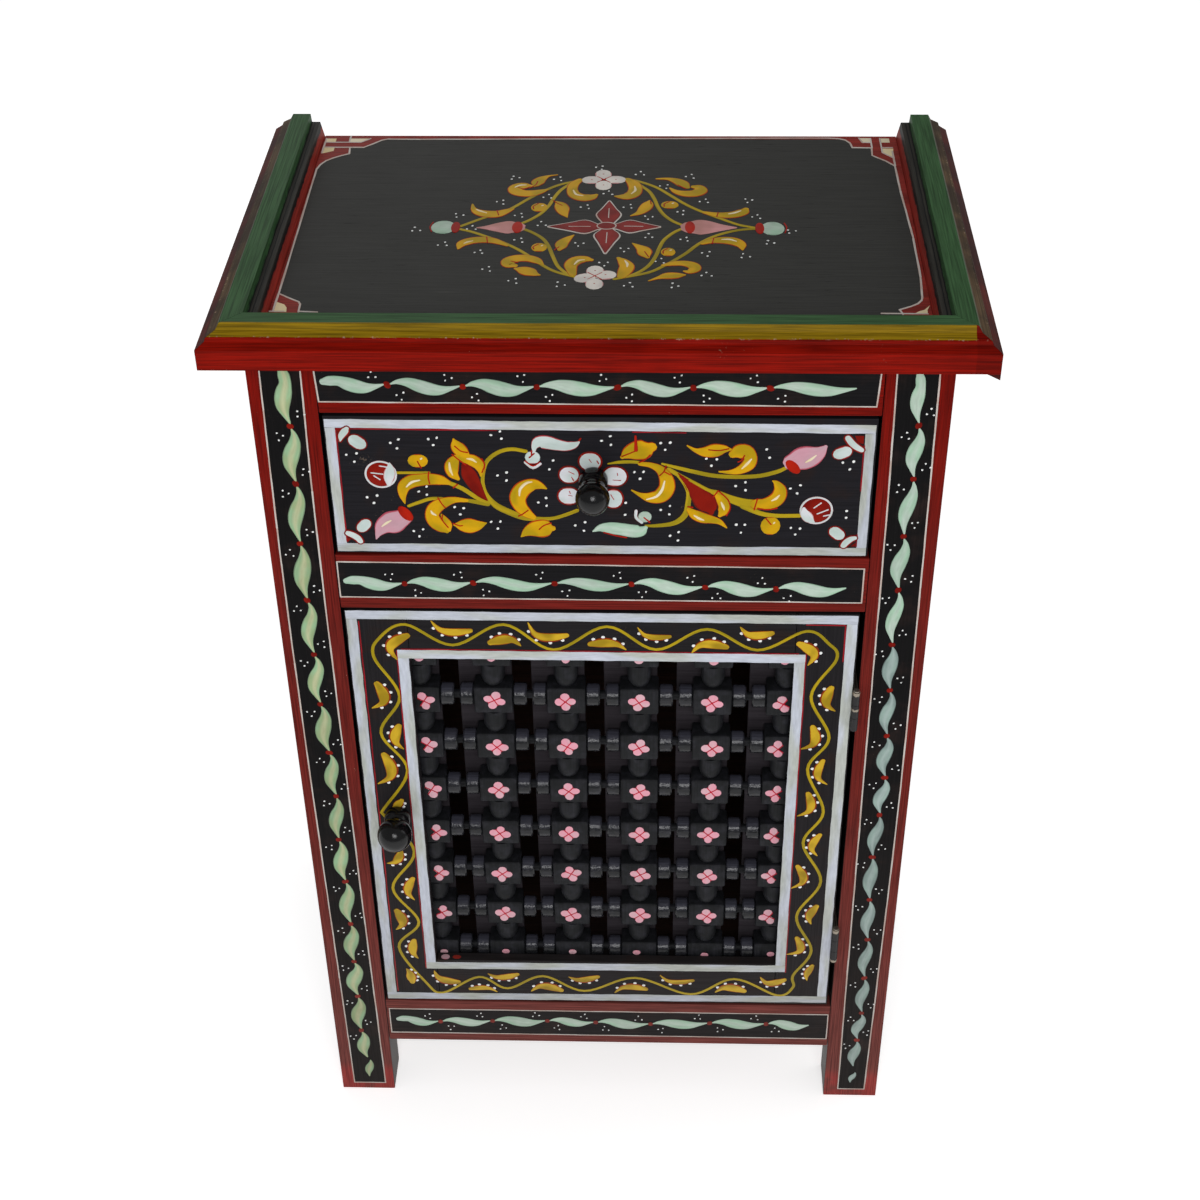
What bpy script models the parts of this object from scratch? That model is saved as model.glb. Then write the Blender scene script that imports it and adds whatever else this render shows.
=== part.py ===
"""Painted bedside cabinet: one drawer above a door filled with a turned lattice.

The carcass is four legs joined by tenoned rails, with grooved side panels, a
back, a bottom board and a top edged by a mitred moulding. The drawer slides
forward on two runners. The door swings on two butt hinges at its right edge.
Lengths are in metres. X runs to the right, the front faces -Y and Z is up.
The origin lies on the floor below the middle of the top.
"""
import bpy
import bmesh
import math
from mathutils import Vector

# Gap between pieces that touch
FIT = 0.0003

# Body and top
BODY_WIDTH = 0.420
TOP_DEPTH = 0.300
FRONT_OVERHANG = 0.033
SIDE_OVERHANG = 0.0196
TOP_THICKNESS = 0.008

# Heights up the front, from the floor
FOOT_HEIGHT = 0.059
BOTTOM_RAIL_HEIGHT = 0.045
DOOR_OPENING_HEIGHT = 0.377
MIDDLE_RAIL_HEIGHT = 0.0425
DRAWER_OPENING_HEIGHT = 0.1055
TOP_RAIL_HEIGHT = 0.049

# Legs and rails
LEG_WIDTH = 0.041
LEG_DEPTH = 0.030
RAIL_THICKNESS = 0.022
TENON_LENGTH = 0.012
TENON_THICKNESS = 0.008
TENON_SHOULDER = 0.008

# Panels and boards
PANEL_THICKNESS = 0.010
PANEL_INSET = 0.004
TONGUE_THICKNESS = 0.005
TONGUE_DEPTH = 0.006
BACK_THICKNESS = 0.005
BACK_INSET = 0.001
BOTTOM_THICKNESS = 0.008
BOTTOM_LEDGE = 0.010
CLEAT_WIDTH = 0.020
CLEAT_HEIGHT = 0.018

# Moulding round the top, as runs inward and rises from its outer lower edge
MOULDING_FACE = 0.013
LOWER_SLOPE_RUN = 0.0050
LOWER_SLOPE_RISE = 0.0030
LOWER_STEP_RUN = 0.0008
LOWER_STEP_RISE = 0.0022
UPPER_SLOPE_RUN = 0.0052
UPPER_SLOPE_RISE = 0.0024
UPPER_STEP_RUN = 0.0020
UPPER_STEP_RISE = 0.0034
CROWN_WIDTH = 0.0120
INNER_STEP_RUN = 0.0005
INNER_STEP_DROP = 0.0058
INNER_STRIP_WIDTH = 0.0055
INNER_SLOPE_RUN = 0.0025
TOP_EDGE_COVER = 0.013
TOP_REBATE_DEPTH = 0.001
RIGHT_MOULDING_DROP = 0.004

# Drawer
DRAWER_GAP = 0.002
DRAWER_FRONT_THICKNESS = 0.018
DRAWER_BOX_CLEARANCE = 0.0045
DRAWER_SIDE_THICKNESS = 0.010
DRAWER_SIDE_HEIGHT = 0.086
DRAWER_BACK_CLEARANCE = 0.0054
DRAWER_BOTTOM_THICKNESS = 0.004
DRAWER_BOTTOM_LIFT = 0.007
DRAWER_GROOVE_DEPTH = 0.004
RUNNER_WIDTH = 0.0457
RUNNER_THICKNESS = 0.012
GUIDE_HEIGHT = 0.022
RUNNING_GAP = 0.0005

# Door frame
DOOR_GAP = 0.002
HINGE_GAP = 0.0032
DOOR_STILE_WIDTH = 0.040
DOOR_TOP_RAIL_HEIGHT = 0.040
DOOR_BOTTOM_RAIL_HEIGHT = 0.0435
DOOR_LIP = 0.0077
DOOR_TENON_LENGTH = 0.018
DOOR_TENON_THICKNESS = 0.007
DOOR_TENON_SHOULDER = 0.006

# Lattice of turned sticks and spindles
LATTICE_COLUMNS = 6
LATTICE_ROWS = 8
LATTICE_LAP = 0.0095
LATTICE_DEPTH = 0.0155
BLOCK_WIDTH = 0.026
BLOCK_HEIGHT = 0.022
BLOCK_SETBACK = 0.00025
CUP_RADIUS = 0.0085
CUP_FOOT_RADIUS = 0.0070
CUP_NECK_RADIUS = 0.0050
CUP_FOOT_HEIGHT = 0.0045
STICK_CORE_RADIUS = 0.0048
SPINDLE_NECK_LENGTH = 0.0040
SPINDLE_NECK_RADIUS = 0.0032
DOWEL_RADIUS = 0.0022
DOWEL_END = 0.006
DOWEL_CLEARANCE = 0.0004
CUP_SIDES = 8
SPINDLE_SIDES = 6

# Slotted board behind the lattice
BACKING_THICKNESS = 0.003
BACKING_LAP = 0.0125
BACKING_RISE = 0.025
SLOT_OFFSET = 0.012
SLOT_WIDTH = 0.013
SLOT_END_MARGIN = 0.004

# Knobs and their screws
DRAWER_BALL_RADIUS = 0.0107
DOOR_BALL_RADIUS = 0.0122
KNOB_COLLAR_RADIUS = 0.0090
KNOB_COLLAR_START = 0.0020
KNOB_COLLAR_EDGE = 0.0070
KNOB_COLLAR_LENGTH = 0.0095
KNOB_NECK_RADIUS = 0.0078
KNOB_LENGTH = 0.0324
KNOB_HOLE_DEPTH = 0.012
SCREW_RADIUS = 0.0018
SCREW_HEAD_RADIUS = 0.0040
SCREW_HEAD_LENGTH = 0.0024
SCREW_HEAD_FLAT_RADIUS = 0.0028
SCREW_HEAD_EDGE = 0.0010
SCREW_CLEARANCE = 0.0004
DRAWER_KNOB_OFFSET = -0.004
DRAWER_KNOB_RISE = 0.0070
DOOR_KNOB_OFFSET = 0.002
DOOR_KNOB_RISE = 0.0055
ROUND_SIDES = 20
BALL_STEPS = 8
SMALL_SIDES = 12

# Hinges and catch
HINGE_LENGTH = 0.033
UPPER_HINGE_INSET = 0.0785
LOWER_HINGE_INSET = 0.0687
HINGE_LEAF_DEPTH = 0.020
HINGE_LEAF_THICKNESS = 0.0010
KNUCKLE_RADIUS = 0.0026
HINGE_PIN_RADIUS = 0.0012
HINGE_PIN_HEAD = 0.0008
HINGE_PIN_HEAD_RADIUS = 0.0021
CATCH_WIDTH = 0.036
CATCH_DEPTH = 0.010
CATCH_HEIGHT = 0.012
CATCH_PLATE_THICKNESS = 0.0012
CATCH_INSET = 0.028

# Places worked out from the sizes above
half_body = BODY_WIDTH / 2
half_top = half_body + SIDE_OVERHANG
front_y = FRONT_OVERHANG - TOP_DEPTH / 2
back_y = TOP_DEPTH / 2
inner_x = half_body - LEG_WIDTH
leg_back_y = front_y + LEG_DEPTH
rear_leg_y = back_y - LEG_DEPTH
rail_back_y = front_y + RAIL_THICKNESS

door_low = FOOT_HEIGHT + BOTTOM_RAIL_HEIGHT
door_high = door_low + DOOR_OPENING_HEIGHT
drawer_low = door_high + MIDDLE_RAIL_HEIGHT
drawer_high = drawer_low + DRAWER_OPENING_HEIGHT
body_top = drawer_high + TOP_RAIL_HEIGHT
under_top = body_top - FIT

panel_outer_x = half_body - PANEL_INSET
panel_inner_x = panel_outer_x - PANEL_THICKNESS
panel_front_y = leg_back_y + FIT
panel_back_y = rear_leg_y - FIT
wall_x = panel_inner_x - FIT

back_face_y = back_y - BACK_INSET
rear_rail_back_y = back_face_y - BACK_THICKNESS - FIT
rear_rail_y = rear_rail_back_y - RAIL_THICKNESS

drawer_half = inner_x - DRAWER_GAP
drawer_front_back_y = front_y + DRAWER_FRONT_THICKNESS
drawer_box_half = inner_x - DRAWER_BOX_CLEARANCE
drawer_box_inner = drawer_box_half - DRAWER_SIDE_THICKNESS
drawer_box_y = drawer_front_back_y + FIT
drawer_end_y = rear_rail_y - DRAWER_BACK_CLEARANCE
drawer_box_low = drawer_low + FIT
drawer_bottom_low = drawer_box_low + DRAWER_BOTTOM_LIFT
drawer_bottom_high = drawer_bottom_low + DRAWER_BOTTOM_THICKNESS

door_left = DOOR_GAP - inner_x
door_right = inner_x - HINGE_GAP
door_bottom_z = door_low + DOOR_GAP
door_top_z = door_high - DOOR_GAP
lip_back_y = front_y + DOOR_LIP
lattice_front_y = lip_back_y + FIT
lattice_mid_y = lattice_front_y + LATTICE_DEPTH / 2
door_back_y = lattice_front_y + LATTICE_DEPTH + FIT
hole_left = door_left + DOOR_STILE_WIDTH
hole_right = door_right - DOOR_STILE_WIDTH
hole_low = door_bottom_z + DOOR_BOTTOM_RAIL_HEIGHT
hole_high = door_top_z - DOOR_TOP_RAIL_HEIGHT
rebate = LATTICE_LAP + FIT

column_first = hole_left - LATTICE_LAP + BLOCK_WIDTH / 2
column_last = hole_right + LATTICE_LAP - BLOCK_WIDTH / 2
column_pitch = (column_last - column_first) / (LATTICE_COLUMNS - 1)
row_first = hole_low - LATTICE_LAP + BLOCK_HEIGHT / 2
row_last = hole_high + LATTICE_LAP - BLOCK_HEIGHT / 2
row_pitch = (row_last - row_first) / (LATTICE_ROWS - 1)
columns = [column_first + i * column_pitch for i in range(LATTICE_COLUMNS)]
rows = [row_first + i * row_pitch for i in range(LATTICE_ROWS)]

hinge_x = inner_x - HINGE_GAP / 2
hinge_y = front_y - KNUCKLE_RADIUS - FIT
hinge_heights = {
    "upper": door_top_z - UPPER_HINGE_INSET,
    "lower": door_bottom_z + LOWER_HINGE_INSET,
}

for old in list(bpy.data.objects):
    bpy.data.objects.remove(old, do_unlink=True)


def paint(name, colour, roughness, metallic=0.0):
    """Make one finish as a Principled material."""
    look = bpy.data.materials.new(name)
    look.use_nodes = True
    shader = look.node_tree.nodes["Principled BSDF"]
    shader.inputs["Base Color"].default_value = (*colour, 1.0)
    shader.inputs["Roughness"].default_value = roughness
    shader.inputs["Metallic"].default_value = metallic
    return look


def joint_axis(name, place):
    """Add an empty on a joint's axis, to carry the pieces that move with it."""
    empty = bpy.data.objects.new(name, None)
    empty.location = place
    bpy.context.collection.objects.link(empty)
    return empty


def add_piece(name, bm, place, look, carrier=None):
    """Turn a bmesh drawn about place into a named object on its carrier."""
    bmesh.ops.recalc_face_normals(bm, faces=bm.faces)
    mesh = bpy.data.meshes.new(name)
    bm.to_mesh(mesh)
    bm.free()
    if look:
        mesh.materials.append(look)
    piece = bpy.data.objects.new(name, mesh)
    bpy.context.collection.objects.link(piece)
    piece.parent = carrier
    piece.location = Vector(place) - (carrier.location if carrier else Vector())
    return piece


def loft_into(bm, first, last):
    """Close the space between two loops of points that have as many points."""
    ends = [[bm.verts.new(point) for point in loop] for loop in (first, last)]
    count = len(first)
    for i in range(count):
        j = (i + 1) % count
        bm.faces.new((ends[0][i], ends[0][j], ends[1][j], ends[1][i]))
    bm.faces.new(reversed(ends[0]))
    bm.faces.new(ends[1])


def loft(name, first, last, look, carrier=None):
    """A solid between two loops of world points, with its origin amid them."""
    corners = [Vector(point) for point in (*first, *last)]
    place = sum(corners, Vector()) / len(corners)
    bm = bmesh.new()
    loft_into(bm, [Vector(p) - place for p in first], [Vector(p) - place for p in last])
    return add_piece(name, bm, place, look, carrier)


def board(name, low, high, look, carrier=None):
    """A rectangular board between its lowest and highest corners."""
    outline = [(low[0], low[1]), (high[0], low[1]), (high[0], high[1]), (low[0], high[1])]
    return upright(name, outline, low[2], high[2], look, carrier)


def upright(name, outline, low, high, look, carrier=None):
    """An outline in plan, raised from one height to another."""
    first = [(x, y, low) for x, y in outline]
    last = [(x, y, high) for x, y in outline]
    return loft(name, first, last, look, carrier)


def crosswise(name, section, left, right, look, carrier=None):
    """A section in the YZ plane, run from left to right."""
    first = [(left, y, z) for y, z in section]
    last = [(right, y, z) for y, z in section]
    return loft(name, first, last, look, carrier)


def lengthwise(name, section, front, back, look, carrier=None):
    """A section in the XZ plane, run from front to back."""
    first = [(x, front, z) for x, z in section]
    last = [(x, back, z) for x, z in section]
    return loft(name, first, last, look, carrier)


def turn_into(bm, profile, sides, place, axis):
    """Turn a profile of (radius, distance along) points about an axis through place."""
    swing = Vector((0, 0, 1)).rotation_difference(Vector(axis))
    rings = []
    for radius, along in profile:
        angles = [2 * math.pi * (k + 0.5) / sides for k in range(sides if radius else 1)]
        ring = [Vector((radius * math.cos(a), radius * math.sin(a), along)) for a in angles]
        rings.append([bm.verts.new(swing @ point + Vector(place)) for point in ring])
    for upper, lower in zip(rings, rings[1:]):
        for k in range(sides):
            j = (k + 1) % sides
            corners = [upper[k % len(upper)], upper[j % len(upper)],
                       lower[j % len(lower)], lower[k % len(lower)]]
            bm.faces.new(list(dict.fromkeys(corners)))


def turned(name, profile, place, axis, sides, look, carrier=None):
    """A turned piece, smooth round its sides, with its origin on its axis."""
    bm = bmesh.new()
    turn_into(bm, profile, sides, (0, 0, 0), axis)
    piece = add_piece(name, bm, place, look, carrier)
    shade_round(piece)
    return piece


def shade_round(piece, sharp=math.radians(50)):
    """Shade a piece smooth, except at edges that bend sharply."""
    piece.data.shade_smooth()
    piece.data.set_sharp_from_angle(angle=sharp)


def rod(radius, length):
    """The profile of a plain round rod."""
    return [(0, 0), (radius, 0), (radius, length), (0, length)]


def combine(piece, tool, operation):
    """Join a helper solid to a piece, or cut it away, and keep the helper hidden."""
    tool.hide_render = True
    tool.display_type = "WIRE"
    step = piece.modifiers.new(tool.name, "BOOLEAN")
    step.object = tool
    step.operation = operation
    step.solver = "EXACT"


def cut_box(piece, label, low, high):
    """Cut a rectangular pocket out of a piece."""
    combine(piece, board(f"{piece.name}_{label}", low, high, None), "DIFFERENCE")


def cut_round(piece, label, place, axis, radius, length, sides=SMALL_SIDES):
    """Bore a round hole into a piece."""
    bore = turned(f"{piece.name}_{label}", rod(radius, length), place, axis, sides, None)
    combine(piece, bore, "DIFFERENCE")


def add_tenons(rail, low, high, length):
    """Give a rail a tenon at each end, from one bar that runs through it."""
    first = (low[0] - length, *low[1:])
    last = (high[0] + length, *high[1:])
    combine(rail, board(f"{rail.name}_tenons", first, last, None), "UNION")


def add_mortise(post, label, low, high):
    """Cut the pocket that takes a tenon, with a little room all round."""
    room = Vector((FIT, FIT, FIT))
    cut_box(post, label, Vector(low) - room, Vector(high) + room)


frame_paint = paint("frame_paint", (0.018, 0.017, 0.020), 0.35)
rail_paint = paint("rail_paint", (0.020, 0.018, 0.020), 0.35)
carcass_paint = paint("carcass_paint", (0.160, 0.018, 0.010), 0.45)
inside_stain = paint("inside_stain", (0.060, 0.016, 0.012), 0.60)
top_paint = paint("top_paint", (0.032, 0.032, 0.030), 0.45)
moulding_paint = paint("moulding_paint", (0.220, 0.022, 0.010), 0.40)
drawer_paint = paint("drawer_paint", (0.016, 0.016, 0.020), 0.35)
door_paint = paint("door_paint", (0.016, 0.016, 0.020), 0.35)
lattice_paint = paint("lattice_paint", (0.022, 0.022, 0.026), 0.30)
bare_wood = paint("bare_wood", (0.420, 0.270, 0.150), 0.65)
knob_paint = paint("knob_paint", (0.020, 0.018, 0.020), 0.25)
hinge_metal = paint("hinge_metal", (0.300, 0.250, 0.160), 0.40, 1.0)
screw_metal = paint("screw_metal", (0.450, 0.430, 0.400), 0.35, 1.0)

drawer_slide = joint_axis("drawer_slide", (0, front_y, drawer_low))
door_hinge = joint_axis("door_hinge", (hinge_x, hinge_y, door_bottom_z))

# Where the rails' tenons lie, in Y and in Z
tenon_front_y = front_y + TENON_SHOULDER
tenon_back_y = tenon_front_y + TENON_THICKNESS
rear_tenon_y = rear_rail_y + TENON_SHOULDER - FIT
rear_tenon_back_y = rear_tenon_y + TENON_THICKNESS
rail_heights = {
    "bottom": (FOOT_HEIGHT, door_low),
    "middle": (door_high, drawer_low),
    "top": (drawer_high, under_top),
}
bottom_tenon_high = door_low - BOTTOM_THICKNESS - TENON_SHOULDER / 2


def tenon_heights(level):
    """The lowest and highest point of the tenons on one level's rail."""
    low, high = rail_heights[level]
    if level == "bottom":
        return low + TENON_SHOULDER, bottom_tenon_high
    return low + TENON_SHOULDER, high - TENON_SHOULDER


# Legs, grooved for the side panels and mortised for the rails
panel_mid_x = (panel_inner_x + panel_outer_x) / 2
groove_half = TONGUE_THICKNESS / 2 + FIT


def make_leg(name, side, front, back, levels, tenon_y, groove_y):
    """One leg: side is -1 on the left and 1 on the right."""
    across = sorted((side * inner_x, side * half_body))
    leg = board(name, (across[0], front, 0), (across[1], back, under_top), frame_paint)
    groove = sorted((side * (panel_mid_x - groove_half), side * (panel_mid_x + groove_half)))
    cut_box(leg, "groove", (groove[0], groove_y[0], FOOT_HEIGHT - FIT),
            (groove[1], groove_y[1], body_top + LEG_DEPTH))
    for level in levels:
        low, high = tenon_heights(level)
        pocket = sorted((side * (inner_x - TENON_LENGTH), side * (inner_x + TENON_LENGTH)))
        add_mortise(leg, f"{level}_mortise", (pocket[0], tenon_y[0], low),
                    (pocket[1], tenon_y[1], high))


for side, hand in ((-1, "left"), (1, "right")):
    make_leg(f"front_{hand}_leg", side, front_y, leg_back_y, ("bottom", "middle", "top"),
             (tenon_front_y, tenon_back_y), (leg_back_y - TONGUE_DEPTH, leg_back_y + TONGUE_DEPTH))
    make_leg(f"rear_{hand}_leg", side, rear_leg_y, back_y, ("bottom", "top"),
             (rear_tenon_y, rear_tenon_back_y), (rear_leg_y - TONGUE_DEPTH, rear_leg_y + TONGUE_DEPTH))


# Rails between the legs, the bottom two with a ledge for the bottom board
rail_half = inner_x - FIT
ledge_z = door_low - BOTTOM_THICKNESS
front_ledge_y = rail_back_y - BOTTOM_LEDGE
rear_ledge_y = rear_rail_y + BOTTOM_LEDGE


def make_rail(name, level, front, back, tenon_y, ledge_y=None):
    """One rail with its tenons, cut back to a ledge where ledge_y is given."""
    low, high = rail_heights[level]
    section = [(front, low), (front, high), (back, high), (back, low)]
    if ledge_y == front_ledge_y:
        section = [(front, low), (front, high), (ledge_y, high), (ledge_y, ledge_z),
                   (back, ledge_z), (back, low)]
    elif ledge_y == rear_ledge_y:
        section = [(front, low), (front, ledge_z), (ledge_y, ledge_z), (ledge_y, high),
                   (back, high), (back, low)]
    rail = crosswise(name, section, -rail_half, rail_half, rail_paint)
    tenon_low, tenon_high = tenon_heights(level)
    add_tenons(rail, (-rail_half, tenon_y[0], tenon_low), (rail_half, tenon_y[1], tenon_high),
               TENON_LENGTH - FIT)


front_tenon = (tenon_front_y, tenon_back_y)
rear_tenon = (rear_tenon_y, rear_tenon_back_y)
make_rail("front_bottom_rail", "bottom", front_y, rail_back_y, front_tenon, front_ledge_y)
make_rail("front_middle_rail", "middle", front_y, rail_back_y, front_tenon)
make_rail("front_top_rail", "top", front_y, rail_back_y, front_tenon)
make_rail("rear_bottom_rail", "bottom", rear_rail_y, rear_rail_back_y, rear_tenon, rear_ledge_y)
make_rail("rear_top_rail", "top", rear_rail_y, rear_rail_back_y, rear_tenon)


# Side panels with tongues, the back and the bottom board
def make_side_panel(name, side):
    """One side panel, with a tongue along its front and back edges."""
    near = panel_mid_x - TONGUE_THICKNESS / 2
    far = panel_mid_x + TONGUE_THICKNESS / 2
    outline = [
        (panel_inner_x, panel_front_y), (near, panel_front_y),
        (near, panel_front_y - TONGUE_DEPTH), (far, panel_front_y - TONGUE_DEPTH),
        (far, panel_front_y), (panel_outer_x, panel_front_y),
        (panel_outer_x, panel_back_y), (far, panel_back_y),
        (far, panel_back_y + TONGUE_DEPTH), (near, panel_back_y + TONGUE_DEPTH),
        (near, panel_back_y), (panel_inner_x, panel_back_y),
    ]
    upright(name, [(side * x, y) for x, y in outline], FOOT_HEIGHT, under_top, carcass_paint)


make_side_panel("left_side_panel", -1)
make_side_panel("right_side_panel", 1)
board("back_panel", (-rail_half, back_face_y - BACK_THICKNESS, FOOT_HEIGHT),
      (rail_half, back_face_y, under_top), carcass_paint)

bottom_front_y = front_ledge_y + FIT
bottom_back_y = rear_ledge_y - FIT
right_edge = [
    (rail_half, bottom_front_y), (rail_half, panel_front_y), (wall_x, panel_front_y),
    (wall_x, panel_back_y), (rail_half, panel_back_y), (rail_half, bottom_back_y),
]
left_edge = [(-x, y) for x, y in reversed(right_edge)]
upright("bottom_board", right_edge + left_edge, ledge_z + FIT, door_low, inside_stain)

# Drawer runners with guides, and the cleats that hold the top
guide_x = drawer_box_half + RUNNING_GAP
for side, hand in ((-1, "left"), (1, "right")):
    runner = [
        (wall_x - RUNNER_WIDTH, drawer_low - RUNNER_THICKNESS), (wall_x, drawer_low - RUNNER_THICKNESS),
        (wall_x, drawer_low + GUIDE_HEIGHT), (guide_x, drawer_low + GUIDE_HEIGHT),
        (guide_x, drawer_low), (wall_x - RUNNER_WIDTH, drawer_low),
    ]
    lengthwise(f"{hand}_drawer_runner", [(side * x, z) for x, z in runner],
               panel_front_y, panel_back_y, inside_stain)
    cleat = sorted((side * (wall_x - CLEAT_WIDTH), side * wall_x))
    board(f"{hand}_top_cleat", (cleat[0], panel_front_y, under_top - CLEAT_HEIGHT),
          (cleat[1], panel_back_y, under_top), inside_stain)

# Moulding round the top, mitred at the two front corners
top_front_y = -TOP_DEPTH / 2
top_surface = body_top + TOP_THICKNESS
rebate_floor = top_surface - TOP_REBATE_DEPTH


def moulding_section(drop=0.0):
    """The moulding's section as (distance in from the outer face, height) points."""
    steps = [
        (LOWER_SLOPE_RUN, LOWER_SLOPE_RISE), (LOWER_STEP_RUN, LOWER_STEP_RISE),
        (UPPER_SLOPE_RUN, UPPER_SLOPE_RISE), (UPPER_STEP_RUN, UPPER_STEP_RISE),
        (CROWN_WIDTH, 0), (INNER_STEP_RUN, -INNER_STEP_DROP), (INNER_STRIP_WIDTH, 0),
    ]
    points = [(0, body_top - drop), (0, body_top + MOULDING_FACE)]
    for run, rise in steps:
        points.append((points[-1][0] + run, points[-1][1] + rise))
    seat = rebate_floor + FIT
    points.append((points[-1][0] + INNER_SLOPE_RUN, seat))
    return points + [(TOP_EDGE_COVER, seat), (TOP_EDGE_COVER, body_top - drop)]


section = moulding_section()
moulding_width = max(a for a, _ in section)
mitre = FIT / 2
loft("top_front_moulding",
     [(-half_top + a + mitre, top_front_y + a, z) for a, z in section],
     [(half_top - a - mitre, top_front_y + a, z) for a, z in section], moulding_paint)
for side, hand, drop in ((-1, "left", 0.0), (1, "right", RIGHT_MOULDING_DROP)):
    section = moulding_section(drop)
    loft(f"top_{hand}_moulding",
         [(side * (half_top - a), top_front_y + a + mitre, z) for a, z in section],
         [(side * (half_top - a), back_y, z) for a, z in section], moulding_paint)

# Top panel, rebated on three sides so that the moulding sits into it
top_half = half_top - TOP_EDGE_COVER - FIT
field_half = half_top - moulding_width - FIT
field_front_y = top_front_y + moulding_width + FIT
top_panel = board("top_panel", (-top_half, top_front_y + TOP_EDGE_COVER + FIT, body_top),
                  (top_half, back_y, top_surface), top_paint)
for label, left, right, back in (
    ("left_rebate", -half_top, -field_half, back_y + TOP_EDGE_COVER),
    ("right_rebate", field_half, half_top, back_y + TOP_EDGE_COVER),
    ("front_rebate", -half_top, half_top, field_front_y),
):
    cut_box(top_panel, label, (left, top_front_y, rebate_floor),
            (right, back, top_surface + TOP_THICKNESS))


# Knobs, turned with a collar, a neck and a ball, each held by a screw from behind
def knob_profile(ball_radius):
    """The knob from the hole in its back to the crown of its ball."""
    hole = SCREW_RADIUS + SCREW_CLEARANCE
    ball_middle = KNOB_LENGTH - ball_radius
    start = math.asin(KNOB_NECK_RADIUS / ball_radius)
    points = [(0, KNOB_HOLE_DEPTH), (hole, KNOB_HOLE_DEPTH), (hole, 0), (KNOB_NECK_RADIUS, 0),
              (KNOB_COLLAR_RADIUS, KNOB_COLLAR_START), (KNOB_COLLAR_RADIUS, KNOB_COLLAR_EDGE),
              (KNOB_NECK_RADIUS, KNOB_COLLAR_LENGTH)]
    for step in range(BALL_STEPS):
        angle = start + (math.pi - start) * step / BALL_STEPS
        points.append((ball_radius * math.sin(angle), ball_middle - ball_radius * math.cos(angle)))
    return points + [(0, KNOB_LENGTH)]


def screw_profile(wall):
    """A screw whose head bears on the back of a wall and whose shank enters the knob."""
    tip = wall + KNOB_HOLE_DEPTH - SCREW_CLEARANCE
    return [(0, -SCREW_HEAD_LENGTH), (SCREW_HEAD_FLAT_RADIUS, -SCREW_HEAD_LENGTH),
            (SCREW_HEAD_RADIUS, -SCREW_HEAD_EDGE), (SCREW_HEAD_RADIUS, -FIT),
            (SCREW_RADIUS, -FIT), (SCREW_RADIUS, tip), (0, tip)]


def make_knob(prefix, ball_radius, wall_piece, x, z, wall_back_y, carrier):
    """A knob on a wall's front face, with the hole and the screw behind it."""
    wall = wall_back_y - front_y
    turned(f"{prefix}_knob", knob_profile(ball_radius), (x, front_y - FIT, z), (0, -1, 0),
           ROUND_SIDES, knob_paint, carrier)
    turned(f"{prefix}_knob_screw", screw_profile(wall), (x, wall_back_y, z), (0, -1, 0),
           SMALL_SIDES, screw_metal, carrier)
    cut_round(wall_piece, "knob_hole", (x, wall_back_y + wall / 2, z), (0, -1, 0),
              SCREW_RADIUS + SCREW_CLEARANCE, wall * 2)


# Drawer: a front, two grooved sides, a back and a thin bottom
drawer_front = board("drawer_front", (-drawer_half, front_y, drawer_low + DRAWER_GAP),
                     (drawer_half, drawer_front_back_y, drawer_high - DRAWER_GAP),
                     drawer_paint, drawer_slide)
bottom_half = drawer_box_inner + DRAWER_GROOVE_DEPTH - FIT
bottom_low = (-bottom_half, drawer_front_back_y - DRAWER_GROOVE_DEPTH + FIT, drawer_bottom_low)
bottom_high = (bottom_half, drawer_end_y, drawer_bottom_high)
board("drawer_bottom", bottom_low, bottom_high, bare_wood, drawer_slide)
groove_room = Vector((FIT, FIT, FIT))
groove_low = Vector(bottom_low) - groove_room
groove_high = Vector(bottom_high) + groove_room + Vector((0, DRAWER_SIDE_THICKNESS, 0))
cut_box(drawer_front, "groove", groove_low, groove_high)
for side, hand in ((-1, "left"), (1, "right")):
    across = sorted((side * drawer_box_inner, side * drawer_box_half))
    drawer_side = board(f"drawer_{hand}_side", (across[0], drawer_box_y, drawer_box_low),
                        (across[1], drawer_end_y, drawer_box_low + DRAWER_SIDE_HEIGHT),
                        bare_wood, drawer_slide)
    cut_box(drawer_side, "groove", groove_low, groove_high)
back_half = drawer_box_inner - FIT
board("drawer_back", (-back_half, drawer_end_y - DRAWER_SIDE_THICKNESS, drawer_bottom_high + FIT),
      (back_half, drawer_end_y, drawer_box_low + DRAWER_SIDE_HEIGHT), bare_wood, drawer_slide)
make_knob("drawer", DRAWER_BALL_RADIUS, drawer_front, DRAWER_KNOB_OFFSET,
          (drawer_low + drawer_high) / 2 + DRAWER_KNOB_RISE, drawer_front_back_y, drawer_slide)

# Door frame, rebated at the back for the lattice
door_tenon_y = (lip_back_y + FIT, lip_back_y + FIT + DOOR_TENON_THICKNESS)
door_rails = {
    "bottom": (door_bottom_z, hole_low, hole_low - rebate),
    "top": (door_top_z, hole_high, hole_high + rebate),
}


def door_tenon_heights(level):
    """The lowest and highest point of the tenons on one door rail."""
    outer, _, ledge = door_rails[level]
    inward = 1 if outer < ledge else -1
    return sorted((outer + inward * DOOR_TENON_SHOULDER, ledge - inward * DOOR_TENON_SHOULDER))


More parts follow.
